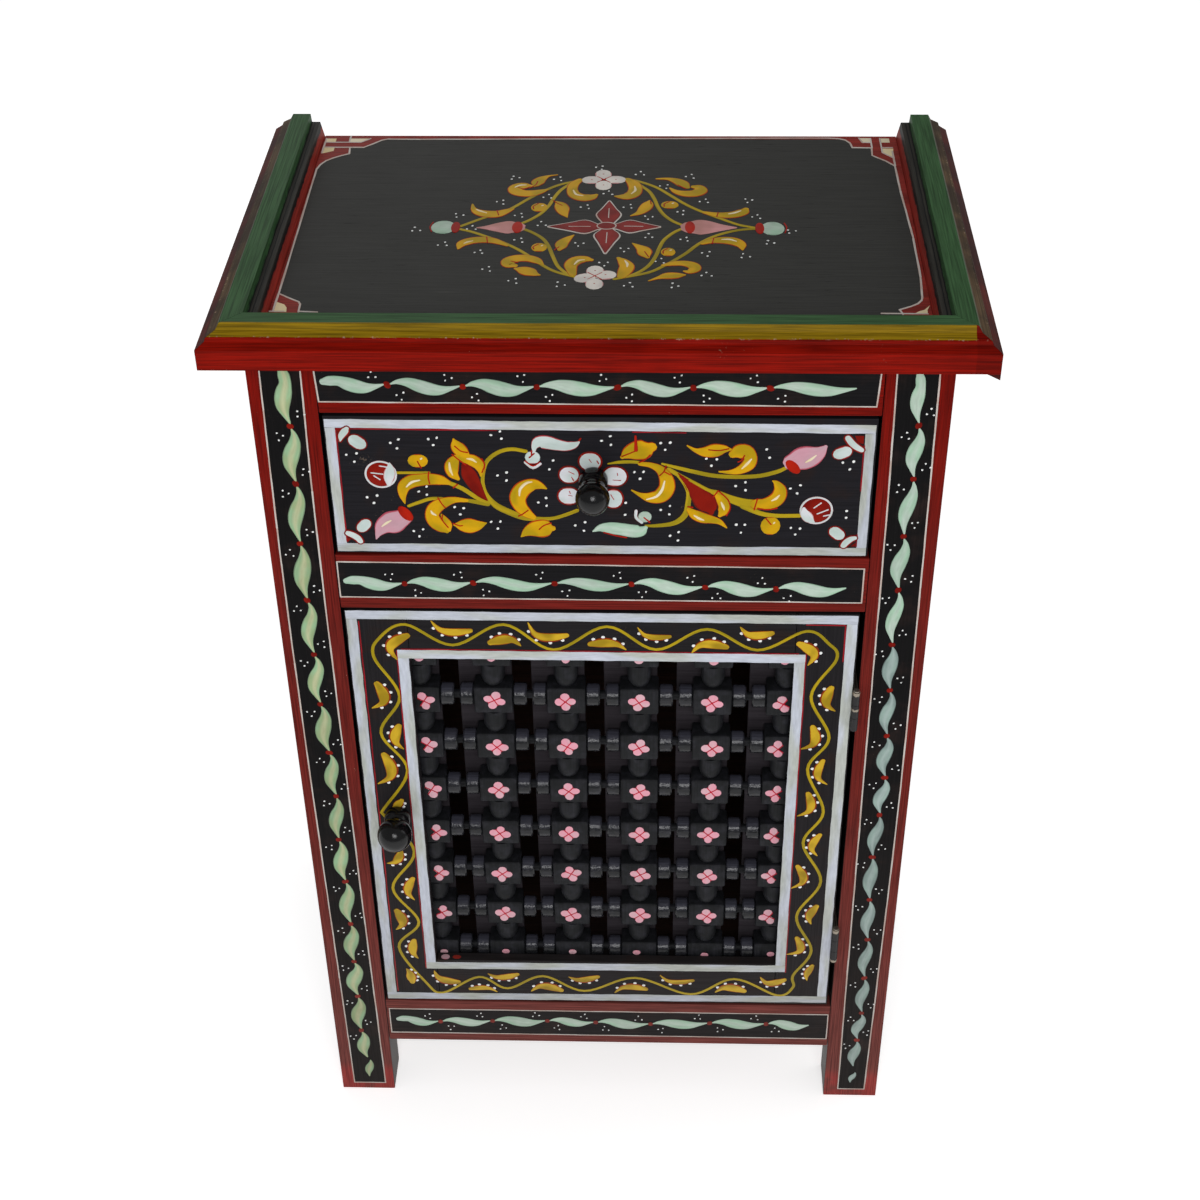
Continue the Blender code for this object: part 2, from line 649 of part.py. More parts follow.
def make_door_stile(hand, outer, inner, into):
    """One upright of the door frame; into is 1 where its hole lies to its right."""
    across = sorted((outer, inner))
    stile = board(f"door_{hand}_stile", (across[0], front_y, door_bottom_z),
                  (across[1], door_back_y, door_top_z), door_paint, door_hinge)
    cut = sorted((inner - into * rebate, inner + into * rebate))
    cut_box(stile, "rebate", (cut[0], lip_back_y, hole_low - rebate),
            (cut[1], door_back_y + DOOR_LIP, hole_high + rebate))
    for level in door_rails:
        low, high = door_tenon_heights(level)
        pocket = sorted((inner - into * DOOR_TENON_LENGTH, inner + into * DOOR_TENON_LENGTH))
        add_mortise(stile, f"{level}_mortise", (pocket[0], door_tenon_y[0], low),
                    (pocket[1], door_tenon_y[1], high))
    return stile


left_stile = make_door_stile("left", door_left, hole_left, 1)
make_door_stile("right", door_right, hole_right, -1)
for level, (outer, inner, ledge) in door_rails.items():
    rail_section = [(front_y, outer), (front_y, inner), (lip_back_y, inner),
                    (lip_back_y, ledge), (door_back_y, ledge), (door_back_y, outer)]
    door_rail = crosswise(f"door_{level}_rail", rail_section, hole_left + FIT, hole_right - FIT,
                          door_paint, door_hinge)
    low, high = door_tenon_heights(level)
    add_tenons(door_rail, (hole_left + FIT, door_tenon_y[0], low),
               (hole_right - FIT, door_tenon_y[1], high), DOOR_TENON_LENGTH - FIT)
make_knob("door", DOOR_BALL_RADIUS, left_stile, door_left + DOOR_STILE_WIDTH / 2 + DOOR_KNOB_OFFSET,
          (door_bottom_z + door_top_z) / 2 + DOOR_KNOB_RISE, door_back_y, door_hinge)

# Lattice sticks: square blocks with a cup turned below each one
block_front_y = lattice_front_y + BLOCK_SETBACK
block_back_y = lattice_front_y + LATTICE_DEPTH - BLOCK_SETBACK
cup_length = row_pitch - BLOCK_HEIGHT
hole_radius = DOWEL_RADIUS + DOWEL_CLEARANCE


def stick_profile():
    """The turned core of a stick, as (radius, height above the lowest row) points."""
    points = [(0, 0), (STICK_CORE_RADIUS, 0)]
    for i in range(LATTICE_ROWS - 1):
        start = i * row_pitch + BLOCK_HEIGHT / 2
        stop = start + cup_length
        points += [(CUP_NECK_RADIUS, start), (CUP_FOOT_RADIUS, start + CUP_FOOT_HEIGHT / 2),
                   (CUP_RADIUS, start + cup_length / 2), (CUP_RADIUS, stop - FIT),
                   (STICK_CORE_RADIUS, stop + BLOCK_HEIGHT / 4)]
    return points + [(0, (LATTICE_ROWS - 1) * row_pitch)]


def make_stick(number, x):
    """One upright stick: its blocks joined to its turned core and bored for the rows."""
    bm = bmesh.new()
    half = BLOCK_WIDTH / 2
    front, back = block_front_y - lattice_mid_y, block_back_y - lattice_mid_y
    plan = [(-half, front), (half, front), (half, back), (-half, back)]
    for z in rows:
        low, high = z - row_first - BLOCK_HEIGHT / 2, z - row_first + BLOCK_HEIGHT / 2
        loft_into(bm, [(px, py, low) for px, py in plan], [(px, py, high) for px, py in plan])
    place = (x, lattice_mid_y, row_first)
    name = f"lattice_stick_{number}"
    stick = add_piece(name, bm, place, lattice_paint, door_hinge)
    core = turned(f"{name}_core", stick_profile(), place, (0, 0, 1), CUP_SIDES, None)
    combine(stick, core, "UNION")
    bm = bmesh.new()
    for z in rows:
        turn_into(bm, rod(hole_radius, BLOCK_WIDTH * 2), SPINDLE_SIDES,
                  (-BLOCK_WIDTH, 0, z - row_first), (1, 0, 0))
    combine(stick, add_piece(f"{name}_holes", bm, place, None), "DIFFERENCE")
    shade_round(stick)


for number, x in enumerate(columns, 1):
    make_stick(number, x)

# Lattice rows: a thin dowel through the blocks, with two barrels in each gap
spindle_gap = column_pitch - BLOCK_WIDTH
barrel_length = (spindle_gap - SPINDLE_NECK_LENGTH) / 2
barrel_radius = LATTICE_DEPTH / 2


def row_profile():
    """One row from end to end, as (radius, distance from the first column) points."""
    half = [(DOWEL_RADIUS, FIT), (barrel_radius, FIT), (barrel_radius, barrel_length),
            (SPINDLE_NECK_RADIUS, barrel_length)]
    spindle = half + [(radius, spindle_gap - along) for radius, along in reversed(half)]
    first = BLOCK_WIDTH / 2 - DOWEL_END
    last = (LATTICE_COLUMNS - 1) * column_pitch - first
    points = [(0, first), (DOWEL_RADIUS, first)]
    for i in range(LATTICE_COLUMNS - 1):
        start = i * column_pitch + BLOCK_WIDTH / 2
        points += [(radius, start + along) for radius, along in spindle]
    return points + [(DOWEL_RADIUS, last), (0, last)]


for number, z in enumerate(rows, 1):
    turned(f"lattice_row_{number}", row_profile(), (column_first, lattice_mid_y, z), (1, 0, 0),
           SPINDLE_SIDES, lattice_paint, door_hinge)

# Slotted board that holds the lattice in from behind
backing = board("lattice_backing",
                (hole_left - BACKING_LAP, door_back_y + FIT, hole_low - BACKING_RISE),
                (hole_right + BACKING_LAP, door_back_y + FIT + BACKING_THICKNESS, hole_high + BACKING_RISE),
                inside_stain, door_hinge)
for number, x in enumerate(columns[:-1], 1):
    cut_box(backing, f"slot_{number}",
            (x + SLOT_OFFSET, door_back_y - BACKING_THICKNESS, hole_low - SLOT_END_MARGIN),
            (x + SLOT_OFFSET + SLOT_WIDTH, door_back_y + 3 * BACKING_THICKNESS, hole_high + SLOT_END_MARGIN))

# Butt hinges: a leaf on the leg, a leaf on the door and a pin through the knuckles
knuckle_length = HINGE_LENGTH / 3
leaf_back_y = front_y + HINGE_LEAF_DEPTH
frame_leaf_x = (inner_x - FIT - HINGE_LEAF_THICKNESS, inner_x - FIT)
door_leaf_x = (door_right + FIT, door_right + FIT + HINGE_LEAF_THICKNESS)


def make_leaf(name, across, low, high, knuckles, carrier):
    """One hinge leaf: a plate, and knuckles that each join it through a short web."""
    leaf = board(name, (across[0], front_y, low), (across[1], leaf_back_y, high),
                 hinge_metal, carrier)
    for number, (bottom, top) in enumerate(knuckles, 1):
        web = board(f"{name}_web_{number}", (across[0], hinge_y, bottom),
                    (across[1], front_y + HINGE_LEAF_THICKNESS, top), None)
        combine(leaf, web, "UNION")
        barrel = turned(f"{name}_knuckle_{number}", rod(KNUCKLE_RADIUS, top - bottom),
                        (hinge_x, hinge_y, bottom), (0, 0, 1), SMALL_SIDES, None)
        combine(leaf, barrel, "UNION")
    cut_round(leaf, "bore", (hinge_x, hinge_y, low - HINGE_LENGTH), (0, 0, 1),
              HINGE_PIN_RADIUS + FIT, 3 * HINGE_LENGTH)


for label, middle in hinge_heights.items():
    low, high = middle - HINGE_LENGTH / 2, middle + HINGE_LENGTH / 2
    lower_knuckle = (low, low + knuckle_length - FIT)
    middle_knuckle = (low + knuckle_length, high - knuckle_length)
    upper_knuckle = (high - knuckle_length + FIT, high)
    make_leaf(f"{label}_hinge_frame_leaf", frame_leaf_x, low, high,
              (lower_knuckle, upper_knuckle), None)
    make_leaf(f"{label}_hinge_door_leaf", door_leaf_x, low, high, (middle_knuckle,), door_hinge)
    pin = [(0, 0), (HINGE_PIN_RADIUS, 0), (HINGE_PIN_RADIUS, HINGE_LENGTH + FIT),
           (HINGE_PIN_HEAD_RADIUS, HINGE_LENGTH + FIT),
           (HINGE_PIN_HEAD_RADIUS, HINGE_LENGTH + FIT + HINGE_PIN_HEAD),
           (0, HINGE_LENGTH + FIT + HINGE_PIN_HEAD)]
    turned(f"{label}_hinge_pin", pin, (hinge_x, hinge_y, low), (0, 0, 1), SMALL_SIDES, hinge_metal)

# Magnetic catch on the bottom board, and its plate on the back of the door
catch_left = door_left + CATCH_INSET
plate_back_y = door_back_y + FIT + CATCH_PLATE_THICKNESS
board("catch_plate", (catch_left, door_back_y + FIT, door_low + FIT + DOOR_GAP),
      (catch_left + CATCH_WIDTH, plate_back_y, door_low + FIT + CATCH_HEIGHT), screw_metal, door_hinge)
board("catch_body", (catch_left, plate_back_y + FIT, door_low + FIT),
      (catch_left + CATCH_WIDTH, plate_back_y + FIT + CATCH_DEPTH, door_low + FIT + CATCH_HEIGHT),
      inside_stain)
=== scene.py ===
# %% [markdown]
# # A painted bedside cabinet
# The real cabinet is joined from legs, rails and thin panels, coated in black and oxblood red, and then
# covered in leaves, flowers and dots with small brushes. The joinery comes ready made as a frame. This
# lesson adds what a painter and a turner add: coats of paint as materials, each brush mark as a thin
# raised mesh, and the finely turned lattice of the door. Marks could be drawn inside a material instead,
# but real brush marks have an edge and a thickness, and a mesh keeps both from every side.

# %% Load the joined cabinet
import math
import random

import bmesh
import bpy
from mathutils import Matrix, Vector


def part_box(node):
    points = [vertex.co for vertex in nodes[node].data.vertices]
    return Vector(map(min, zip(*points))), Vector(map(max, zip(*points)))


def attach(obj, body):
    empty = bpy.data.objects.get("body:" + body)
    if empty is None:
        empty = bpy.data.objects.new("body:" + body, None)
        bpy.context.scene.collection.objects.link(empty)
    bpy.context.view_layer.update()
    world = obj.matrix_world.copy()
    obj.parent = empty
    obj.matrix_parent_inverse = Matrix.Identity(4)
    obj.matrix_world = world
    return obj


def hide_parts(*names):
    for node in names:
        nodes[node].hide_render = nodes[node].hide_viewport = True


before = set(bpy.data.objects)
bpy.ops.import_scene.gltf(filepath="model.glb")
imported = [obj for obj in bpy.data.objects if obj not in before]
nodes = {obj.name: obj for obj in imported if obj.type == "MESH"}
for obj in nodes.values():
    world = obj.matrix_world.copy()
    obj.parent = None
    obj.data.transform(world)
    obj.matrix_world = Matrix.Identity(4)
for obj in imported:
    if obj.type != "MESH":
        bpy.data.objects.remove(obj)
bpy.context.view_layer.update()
MM = 0.001
dice = random.Random(11)


def box_mm(node):
    """The lowest and highest corners of a joined piece, in millimetres."""
    low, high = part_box(node)
    return low / MM, high / MM


front_mm = box_mm("front_left_leg")[0].y
top_mm = box_mm("top_panel")[1].z
print(f"{len(nodes)} pieces, front face at y {front_mm:.1f} mm, top board at z {top_mm:.1f} mm")

# %% [markdown]
# ## Camera
# The photograph looks down on the cabinet from a step away, a little right of its middle. A camera can be
# aimed with a Track To constraint, but then its roll is lost. Here three unit vectors, built from yaw,
# pitch and roll, become the columns of the camera's matrix.

# %% Place the camera
EYE = Vector((0.0364, -1.1367, 1.2714))
YAW = -0.0368
PITCH = 0.6541
ROLL = -0.0141
LENS = 60.164
SENSOR = 36


def into_scene(name, data):
    """A new object, linked so that the scene shows it."""
    made = bpy.data.objects.new(name, data)
    bpy.context.scene.collection.objects.link(made)
    return made


gaze = Vector((math.sin(YAW) * math.cos(PITCH), math.cos(YAW) * math.cos(PITCH), -math.sin(PITCH)))
level = Vector((math.cos(YAW), -math.sin(YAW), 0))
rise = level.cross(gaze)
camera_right = math.cos(ROLL) * level + math.sin(ROLL) * rise
camera_up = math.cos(ROLL) * rise - math.sin(ROLL) * level
camera_data = bpy.data.cameras.new("studio_camera")
camera_data.lens = LENS
camera_data.sensor_width = SENSOR
camera = into_scene("studio_camera", camera_data)
turn = Matrix((camera_right, camera_up, -gaze)).transposed().to_4x4()
camera.matrix_world = Matrix.Translation(EYE) @ turn
bpy.context.scene.camera = camera
print(f"camera {EYE.length:.2f} m from the origin, looking {math.degrees(PITCH):.1f} degrees down")

# %% [markdown]
# ## Shader maths in Python
# A node tree is a drawing of arithmetic. Wrapping a socket in a small class lets the arithmetic be
# written as arithmetic: `1 - mask` adds a Math node by itself. One more method makes any other node.

# %% A socket that can be added and multiplied
class Wire:
    """One output of a shader node, for use in Python expressions."""

    def __init__(self, tree, socket=None):
        self.tree = tree
        self.socket = socket

    def node(self, kind, settings=None, sockets=None, out=0):
        """Add a node: its settings first, then the values or links of its sockets."""
        made = self.tree.nodes.new("ShaderNode" + kind)
        for name, value in (settings or {}).items():
            setattr(made, name, value)
        for name, value in (sockets or {}).items():
            if isinstance(value, Wire):
                self.tree.links.new(value.socket, made.inputs[name])
            else:
                made.inputs[name].default_value = value
        return Wire(self.tree, made.outputs[out])

    def out(self, name):
        """Another output of the same node."""
        return Wire(self.tree, self.socket.node.outputs[name])

    def math(self, operation, *values):
        return self.node("Math", {"operation": operation}, dict(enumerate(values)))

    def mix(self, first, second):
        """The first colour where this wire is 0, and the second where it is 1."""
        return self.node("Mix", {"data_type": "RGBA"}, {0: self, 6: first, 7: second}, 2)

    def between(self, low, high):
        """A soft step from 0 at low to 1 at high."""
        step = {"Value": self, "From Min": low, "From Max": high}
        return self.node("MapRange", {"interpolation_type": "SMOOTHSTEP"}, step)

    def __add__(self, other):
        return self.math("ADD", self, other)

    def __sub__(self, other):
        return self.math("SUBTRACT", self, other)

    def __rsub__(self, other):
        return self.math("SUBTRACT", other, self)

    def __mul__(self, other):
        return self.math("MULTIPLY", self, other)

    def __gt__(self, other):
        return self.math("GREATER_THAN", self, other)

    def __lt__(self, other):
        return self.math("LESS_THAN", self, other)

    def __abs__(self):
        return self.math("ABSOLUTE", self)

    __radd__ = __add__
    __rmul__ = __mul__


def pigment(red, green, blue):
    """A paint's colour, read as 0 to 255 on a screen, as Blender's linear values."""
    shares = [value / 255 for value in (red, green, blue)]
    return (*[s / 12.92 if s < 0.04045 else ((s + 0.055) / 1.055) ** 2.4 for s in shares], 1.0)


def shade(colour, amount):
    """The same paint, darker below 1 and lighter above."""
    return (*[min(1.0, c * amount) for c in colour[:3]], 1.0)


OXBLOOD = pigment(122, 13, 3)
BLACK = pigment(21, 20, 22)
CHARCOAL = pigment(55, 55, 53)
MINT = pigment(158, 190, 166)
OCHRE = pigment(130, 104, 14)
GREEN = pigment(54, 86, 53)
WHITE = pigment(187, 192, 203)
CREAM = pigment(226, 214, 186)
YELLOW = pigment(206, 157, 14)
OLIVE = pigment(176, 150, 24)
PINK = pigment(226, 158, 174)
RED = pigment(172, 30, 10)
CHIPPED = pigment(176, 146, 124)
DULL_RED = pigment(140, 44, 36)
# The grey that colours are mixed towards, more and more near the floor.
LOW_GREY = pigment(120, 108, 102)
print("oxblood in linear values:", [round(c, 3) for c in OXBLOOD[:3]])

# %% [markdown]
# ## Studio
# The photograph was lit from beside the camera, so the front is brighter than the top. One large lamp
# above the camera does the same, and weaker ones keep the sides and the back from going dark. A floor of
# pale paper glows faintly, as in a catalogue picture. The Standard view keeps the paints as strong as they
# look in the photograph, where the default view would fade them.

# %% Floor, world and lamps
FLOOR_RADIUS = 40.0
FLOOR_SIDES = 96
FLOOR_GLOW = 0.58
ROOM_LIGHT = 0.35
FULL_WHITE = (1, 1, 1, 1)


def new_look(name, roughness=0.4, specular=0.5):
    """A new material, its main shader and a wire to start its nodes from."""
    look = bpy.data.materials.new(name)
    look.use_nodes = True
    shader = look.node_tree.nodes["Principled BSDF"]
    shader.inputs["Roughness"].default_value = roughness
    shader.inputs["Specular IOR Level"].default_value = specular
    return look, shader, Wire(look.node_tree)


def feed(shader, socket, wire):
    """Link a wire to one of the shader's sockets."""
    wire.tree.links.new(wire.socket, shader.inputs[socket])


def noise(here, vector, scale, detail=3.0, roughness=0.55):
    """Cloudy noise from 0 to 1."""
    sockets = {"Vector": vector, "Scale": scale, "Detail": detail, "Roughness": roughness}
    return here.node("TexNoise", None, sockets)


def make_floor():
    """A wide round floor of pale matt paper."""
    bm = bmesh.new()
    bmesh.ops.create_circle(bm, cap_ends=True, radius=FLOOR_RADIUS, segments=FLOOR_SIDES)
    mesh = bpy.data.meshes.new("studio_floor")
    bm.to_mesh(mesh)
    bm.free()
    floor = into_scene("studio_floor", mesh)
    look, shader, here = new_look("pale_paper", 0.9, 0.1)
    cloud = noise(here, here.node("TexCoord", out="Object"), 1.5)
    feed(shader, "Base Color", cloud.mix(pigment(244, 244, 244), pigment(250, 250, 250)))
    shader.inputs["Emission Color"].default_value = FULL_WHITE
    shader.inputs["Emission Strength"].default_value = FLOOR_GLOW
    mesh.materials.append(look)


def lamp(name, place, aim, size, power):
    """A large square lamp at place, turned to aim."""
    data = bpy.data.lights.new(name, "AREA")
    data.size = size
    data.energy = power
    made = into_scene(name, data)
    made.location = place
    made.rotation_euler = (Vector(aim) - Vector(place)).to_track_quat("-Z", "Y").to_euler()


make_floor()
lamp("key_lamp", (0.1, -1.75, 1.6), (0, 0, 0.45), 0.8, 15)
lamp("side_lamp", (2.0, 0.3, 1.4), (0, 0, 0.35), 1.3, 6)
lamp("back_lamp", (-0.6, 2.0, 1.8), (0, 0, 0.5), 1.6, 8)
world = bpy.data.worlds.new("bright_room")
world.use_nodes = True
room = world.node_tree.nodes["Background"]
room.inputs["Color"].default_value = FULL_WHITE
room.inputs["Strength"].default_value = ROOM_LIGHT
bpy.context.scene.world = world
bpy.context.scene.view_settings.view_transform = "Standard"
print("studio ready with", len(bpy.data.lights), "lamps")

# %% [markdown]
# ## Coats of paint
# A brushed coat is never one flat colour. It has streaks along the stroke, a dull or shiny patch here and
# there, a fine ripple that catches the light, and pale chips on the edges. Each board's coat is painted by
# where the surface lies: an object's own coordinates stay with the board when a door or drawer moves.

# %% Streaks, chips and the coat itself
def place_mm(here):
    """The three coordinates of the surface in millimetres, in the cabinet's own frame, and all at once."""
    spot = here.node("TexCoord", out="Object")
    scaled = here.node("VectorMath", {"operation": "SCALE"}, {0: spot, "Scale": 1 / MM})
    x = here.node("SeparateXYZ", None, {0: scaled})
    return x, x.out("Y"), x.out("Z"), scaled


def streaks(here, spot, along, length=45.0, width=0.9, detail=4.0):
    """Noise drawn out along one axis, as a brush or the grain below leaves it."""
    stretch = [1 / width] * 3
    stretch[along] = 1 / length
    drawn = here.node("VectorMath", {"operation": "MULTIPLY"}, {0: spot, 1: stretch})
    return noise(here, drawn, 1.0, detail, 0.6)


def greyed_towards_floor(z, colour, most=0.2):
    """A colour greyed more and more towards the floor."""
    return (most * z.between(400.0, 0.0)).mix(colour, LOW_GREY)


def chips(here, spot, size=2.2, amount=0.6):
    """Small scattered chips: 1 where the paint is knocked off."""
    scatter = noise(here, spot, 1 / size, 5.0, 0.7)
    where = noise(here, spot, 0.03, 2.0)
    return (scatter * 0.6 + where * 0.4) > amount


def coat(name, colour_at, along, specular=0.04, gloss=(0.3, 0.52), ripple=0.05, depth=0.5, grit=0.4,
         pits=0.9, greying=0.2):
    """A painted board: streaky colour, patchy gloss and a fine ripple along the brush's way."""
    look, shader, here = new_look(name, specular=specular)
    x, y, z, spot = place_mm(here)
    grain = streaks(here, spot, along)
    colour = colour_at(here, x, y, z, spot)
    # Greyer more and more towards the floor.
    colour = greyed_towards_floor(z, colour, greying)
    value = 1 - 0.5 * depth + depth * grain.between(0.3, 0.7)
    feed(shader, "Base Color", here.node("HueSaturation", None, {"Color": colour, "Value": value}))
    low, high = gloss
    feed(shader, "Roughness", low + (high - low) * (0.5 * grain + 0.5 * noise(here, spot, 0.035)))
    height = grain + grit * noise(here, spot, pits, 2.0)
    feed(shader, "Normal", here.node("Bump", None, {
        "Strength": 0.6, "Distance": ripple * MM, "Height": height}))
    return look


def red_with_chips(here, x, y, z, spot):
    """Oxblood, duller in patches and chipped in a few spots, with feet touched up in a fresher red. It is
    darker below the top board and greyer towards the floor.
    """
    worn = noise(here, spot, 0.02, 3.0).between(0.45, 0.75)
    # Below the top board the red is darker, and lower down it is mixed towards a greyer red.
    darker_below_top = z.between(669.0, 666.0).mix(OXBLOOD, shade(OXBLOOD, 0.85))
    greyer_low = (0.55 * z.between(665.0, 420.0)).mix(worn.mix(darker_below_top, shade(OXBLOOD, 0.7)), pigment(90, 37, 32))
    toe = 0.8 * z.between(34.0, 18.0) * noise(here, spot, 0.05, 3.0).between(0.3, 0.5)
    return chips(here, spot, 1.2, 0.69).mix(toe.mix(greyer_low, pigment(146, 22, 22)), CHIPPED)


def worn_black(tone):
    """A colour function for black gloss, browner where it has rubbed thin."""
    def black(here, x, y, z, spot):
        worn = noise(here, spot, 0.04, 3.0).between(0.5, 0.8)
        return chips(here, spot, 1.2, 0.68).mix(worn.mix(tone, pigment(38, 28, 26)), pigment(96, 84, 74))
    return black


def facing(here):
    """How far the surface faces right. The other two directions are further outputs of the same node."""
    return here.node("SeparateXYZ", None, {0: here.node("TexCoord", out="Normal")})


def leg_paint(here, x, y, z, spot):
    """Red legs, painted black on the sides that face each other: painted shade on those inner sides."""
    # Painted shade: the sides of the legs that face each other are painted black.
    inner = facing(here) * x.math("SIGN", x) < -0.7
    return inner.mix(red_with_chips(here, x, y, z, spot), BLACK)


DOOR_BLACK = pigment(31, 29, 31)
BLACK_GREYING = 0.06
red_upright = coat("red_upright", leg_paint, 2, depth=0.8)
red_level = coat("red_level", red_with_chips, 0, depth=0.9)
black_upright = coat("black_upright", worn_black(BLACK), 2, greying=BLACK_GREYING)
drawer_black = coat("drawer_black", worn_black(pigment(28, 27, 31)), 0, greying=BLACK_GREYING)
door_upright = coat("door_upright", worn_black(DOOR_BLACK), 2, greying=BLACK_GREYING)
door_level = coat("door_level", worn_black(DOOR_BLACK), 0, greying=BLACK_GREYING)
print("plain coats:", red_upright.name, red_level.name, black_upright.name, drawer_black.name)

# %% [markdown]
# ## Top board and its moulded rim
# The rim was painted in bands that run round with it: red outside, then ochre, green, black and red again
# towards the board. The distance in from the rim's outer edge picks the band. On the two sides the ochre
# is thin and dirty, and the outer bands are painted darker: painted shade on the sloping sides, with patches
# darkened by dirt and painted shade. Near the board, black lines between grey ledges are painted shade of
# grooves. The board is a soft charcoal with red strips at its edges, and the right one bows a little, as it
# was painted by eye.

# %% Bands of the rim and the charcoal board
rim_low, rim_high = box_mm("top_front_moulding")
# Near the board the black paint is drawn as grey ledges with black lines between them: the lines are painted
# shade of grooves that the rim's shape does not have, and the ledges are paler with dust.
LEDGE_GREY = pigment(50, 48, 44)
INNER_BANDS = ((25.3, BLACK), (26.0, LEDGE_GREY), (27.4, BLACK), (28.2, LEDGE_GREY), (31.2, BLACK), (31.7, DULL_RED))
FRONT_BANDS = ((6.4, OCHRE), (14.0, GREEN), *INNER_BANDS)
# The sides' outer red and ochre are painted darker and browner than the front's: painted shade on the sloping
# sides, with dirt in the ochre.
SIDE_BANDS = ((-5.0, pigment(84, 28, 22)), (5.4, pigment(88, 70, 50)), (12.0, GREEN), *INNER_BANDS)
STRIP_LEFT = -194.0
STRIP_RIGHT = 191.6
STRIP_BOW = 1.8
BOW_BACK = (70.0, 5.0)
BOW_FRONT = (-80.0, -45.0)
STRIP_BACK = 145.2
RIM_FINISH = {"gloss": (0.34, 0.55), "depth": 0.8}
SPILL = 14.4
# How far patches of the side bands darken towards black: dirt and painted shade.
DIRT_AND_SHADE = 0.6


def rim_bands(bands, dirt_and_shade, spill=0.0):
    """A colour function for the rim's bands: dirt and painted shade darken patches, and red spilt over the
    right end.
    """
    def banded(here, x, y, z, spot):
        inset = (y - rim_low.y).math("MINIMUM", y - rim_low.y, rim_high.x - abs(x))
        inset = inset + 0.8 * (noise(here, spot, 0.12) - 0.5)
        colour = red_with_chips(here, x, y, z, spot)
        for start, paint in bands:
            colour = inset.between(start - 0.2, start + 0.2).mix(colour, paint)
        spilt = (x > rim_high.x - spill) * (inset < 14.0)
        colour = spilt.mix(colour, shade(OXBLOOD, 0.7))
        rubbed = 1 - abs(inset - 6.5).between(0.2, 0.8)
        colour = (rubbed * noise(here, spot, 0.35, 6.0, 0.8).between(0.56, 0.62)).mix(colour, CHIPPED)
        # Patches darkened towards black by dirt and painted shade, on the outer red and ochre only.
        stain = dirt_and_shade * noise(here, spot, 0.03, 4.0).between(0.4, 0.65) * (1 - inset.between(11.0, 13.0))
        return stain.mix(colour, BLACK)
    return banded


def charcoal_board(here, x, y, z, spot):
    """Charcoal with dusty and dark grain lines, and a red strip along three edges, bowed on the right."""
    patches = noise(here, spot, 0.02, 3.0).between(0.4, 0.65)
    greying = streaks(here, spot, 0, 30.0, 0.8, 6.0).between(0.6, 0.8) * patches
    pores = streaks(here, spot, 0, 14.0, 1.3, 3.0).between(0.6, 0.72) * (1 - patches)
    colour = (pores * 0.7).mix((greying * 0.5).mix(CHARCOAL, pigment(96, 94, 90)), pigment(28, 28, 27))
    bow = STRIP_BOW * y.between(*BOW_BACK) * y.between(*BOW_FRONT)
    strip = (x - bow > STRIP_RIGHT) + (x < STRIP_LEFT) + (y > STRIP_BACK)
    worn = noise(here, spot, 0.06, 4.0).between(0.35, 0.7)
    return strip.math("MINIMUM", strip, 1.0).mix(colour, worn.mix(DULL_RED, shade(DULL_RED, 0.6)))


rim_along_x = coat("rim_front_bands", rim_bands(FRONT_BANDS, 0.0, SPILL), 0, **RIM_FINISH)
rim_along_y = coat("rim_side_bands", rim_bands(SIDE_BANDS, DIRT_AND_SHADE), 1, **RIM_FINISH)
board_paint = coat("charcoal_board", charcoal_board, 0, gloss=(0.4, 0.6), depth=0.3)
print("rim bands start at", [start for start, paint in FRONT_BANDS], "mm in from the front edge")

# %% [markdown]
# ## Wood, metal and stain
# Behind the paint the boards are plain: the drawer box is bare softwood, and the inside is brushed with a
# thin dark stain. Wood grain is the same drawn-out noise, mixed from pale to brown. The hinges were painted
# over with the door and have worn back to metal at the ends of their knuckles.

# %% Bare wood, stained boards, hinges and screws
def wood_tones(pale, brown, along=0):
    """A colour function for boards whose grain runs from one tone to another."""
    def tones(here, x, y, z, spot):
        rings = streaks(here, spot, along, 140.0, 6.0, 3.0)
        fibre = streaks(here, spot, along, 30.0, 0.7, 2.0)
        return (0.65 * rings + 0.35 * fibre).between(0.32, 0.68).mix(pale, brown)
    return tones


SOFTWOOD = (pigment(196, 158, 108), pigment(158, 112, 66))
STAIN = (pigment(64, 34, 24), pigment(34, 18, 14))
BARE_FINISH = {"gloss": (0.55, 0.75), "ripple": 0.08, "depth": 0.3}
bare_across = coat("softwood_across", wood_tones(*SOFTWOOD), 0, **BARE_FINISH)
bare_inward = coat("softwood_inward", wood_tones(*SOFTWOOD, 1), 1, **BARE_FINISH)
dark_stain = coat("stain_across", wood_tones(*STAIN), 0, **BARE_FINISH)
stain_inward = coat("stain_inward", wood_tones(*STAIN, 1), 1, **BARE_FINISH)


def metal(name, colour, roughness, bare_levels=None):
    """Brushed metal, painted black except at bare levels of (lowest, highest) where those are given."""
    look, shader, here = new_look(name, roughness, 0.3)
    x, y, z, spot = place_mm(here)
    scratches = streaks(here, spot, 2, 20.0, 0.4)
    feed(shader, "Roughness", roughness + 0.3 * (scratches - 0.5))
    bright = scratches.mix(shade(colour, 0.75), colour)
    if bare_levels is None:
        feed(shader, "Base Color", bright)
        shader.inputs["Metallic"].default_value = 1.0
        return look
    ragged = z + 3.0 * (noise(here, spot, 0.6, 4.0) - 0.5)
    bare = sum((ragged > low) * (ragged < high) for low, high in bare_levels)
    feed(shader, "Base Color", bare.mix(BLACK, bright))
    feed(shader, "Metallic", bare * 0.9)
    return look


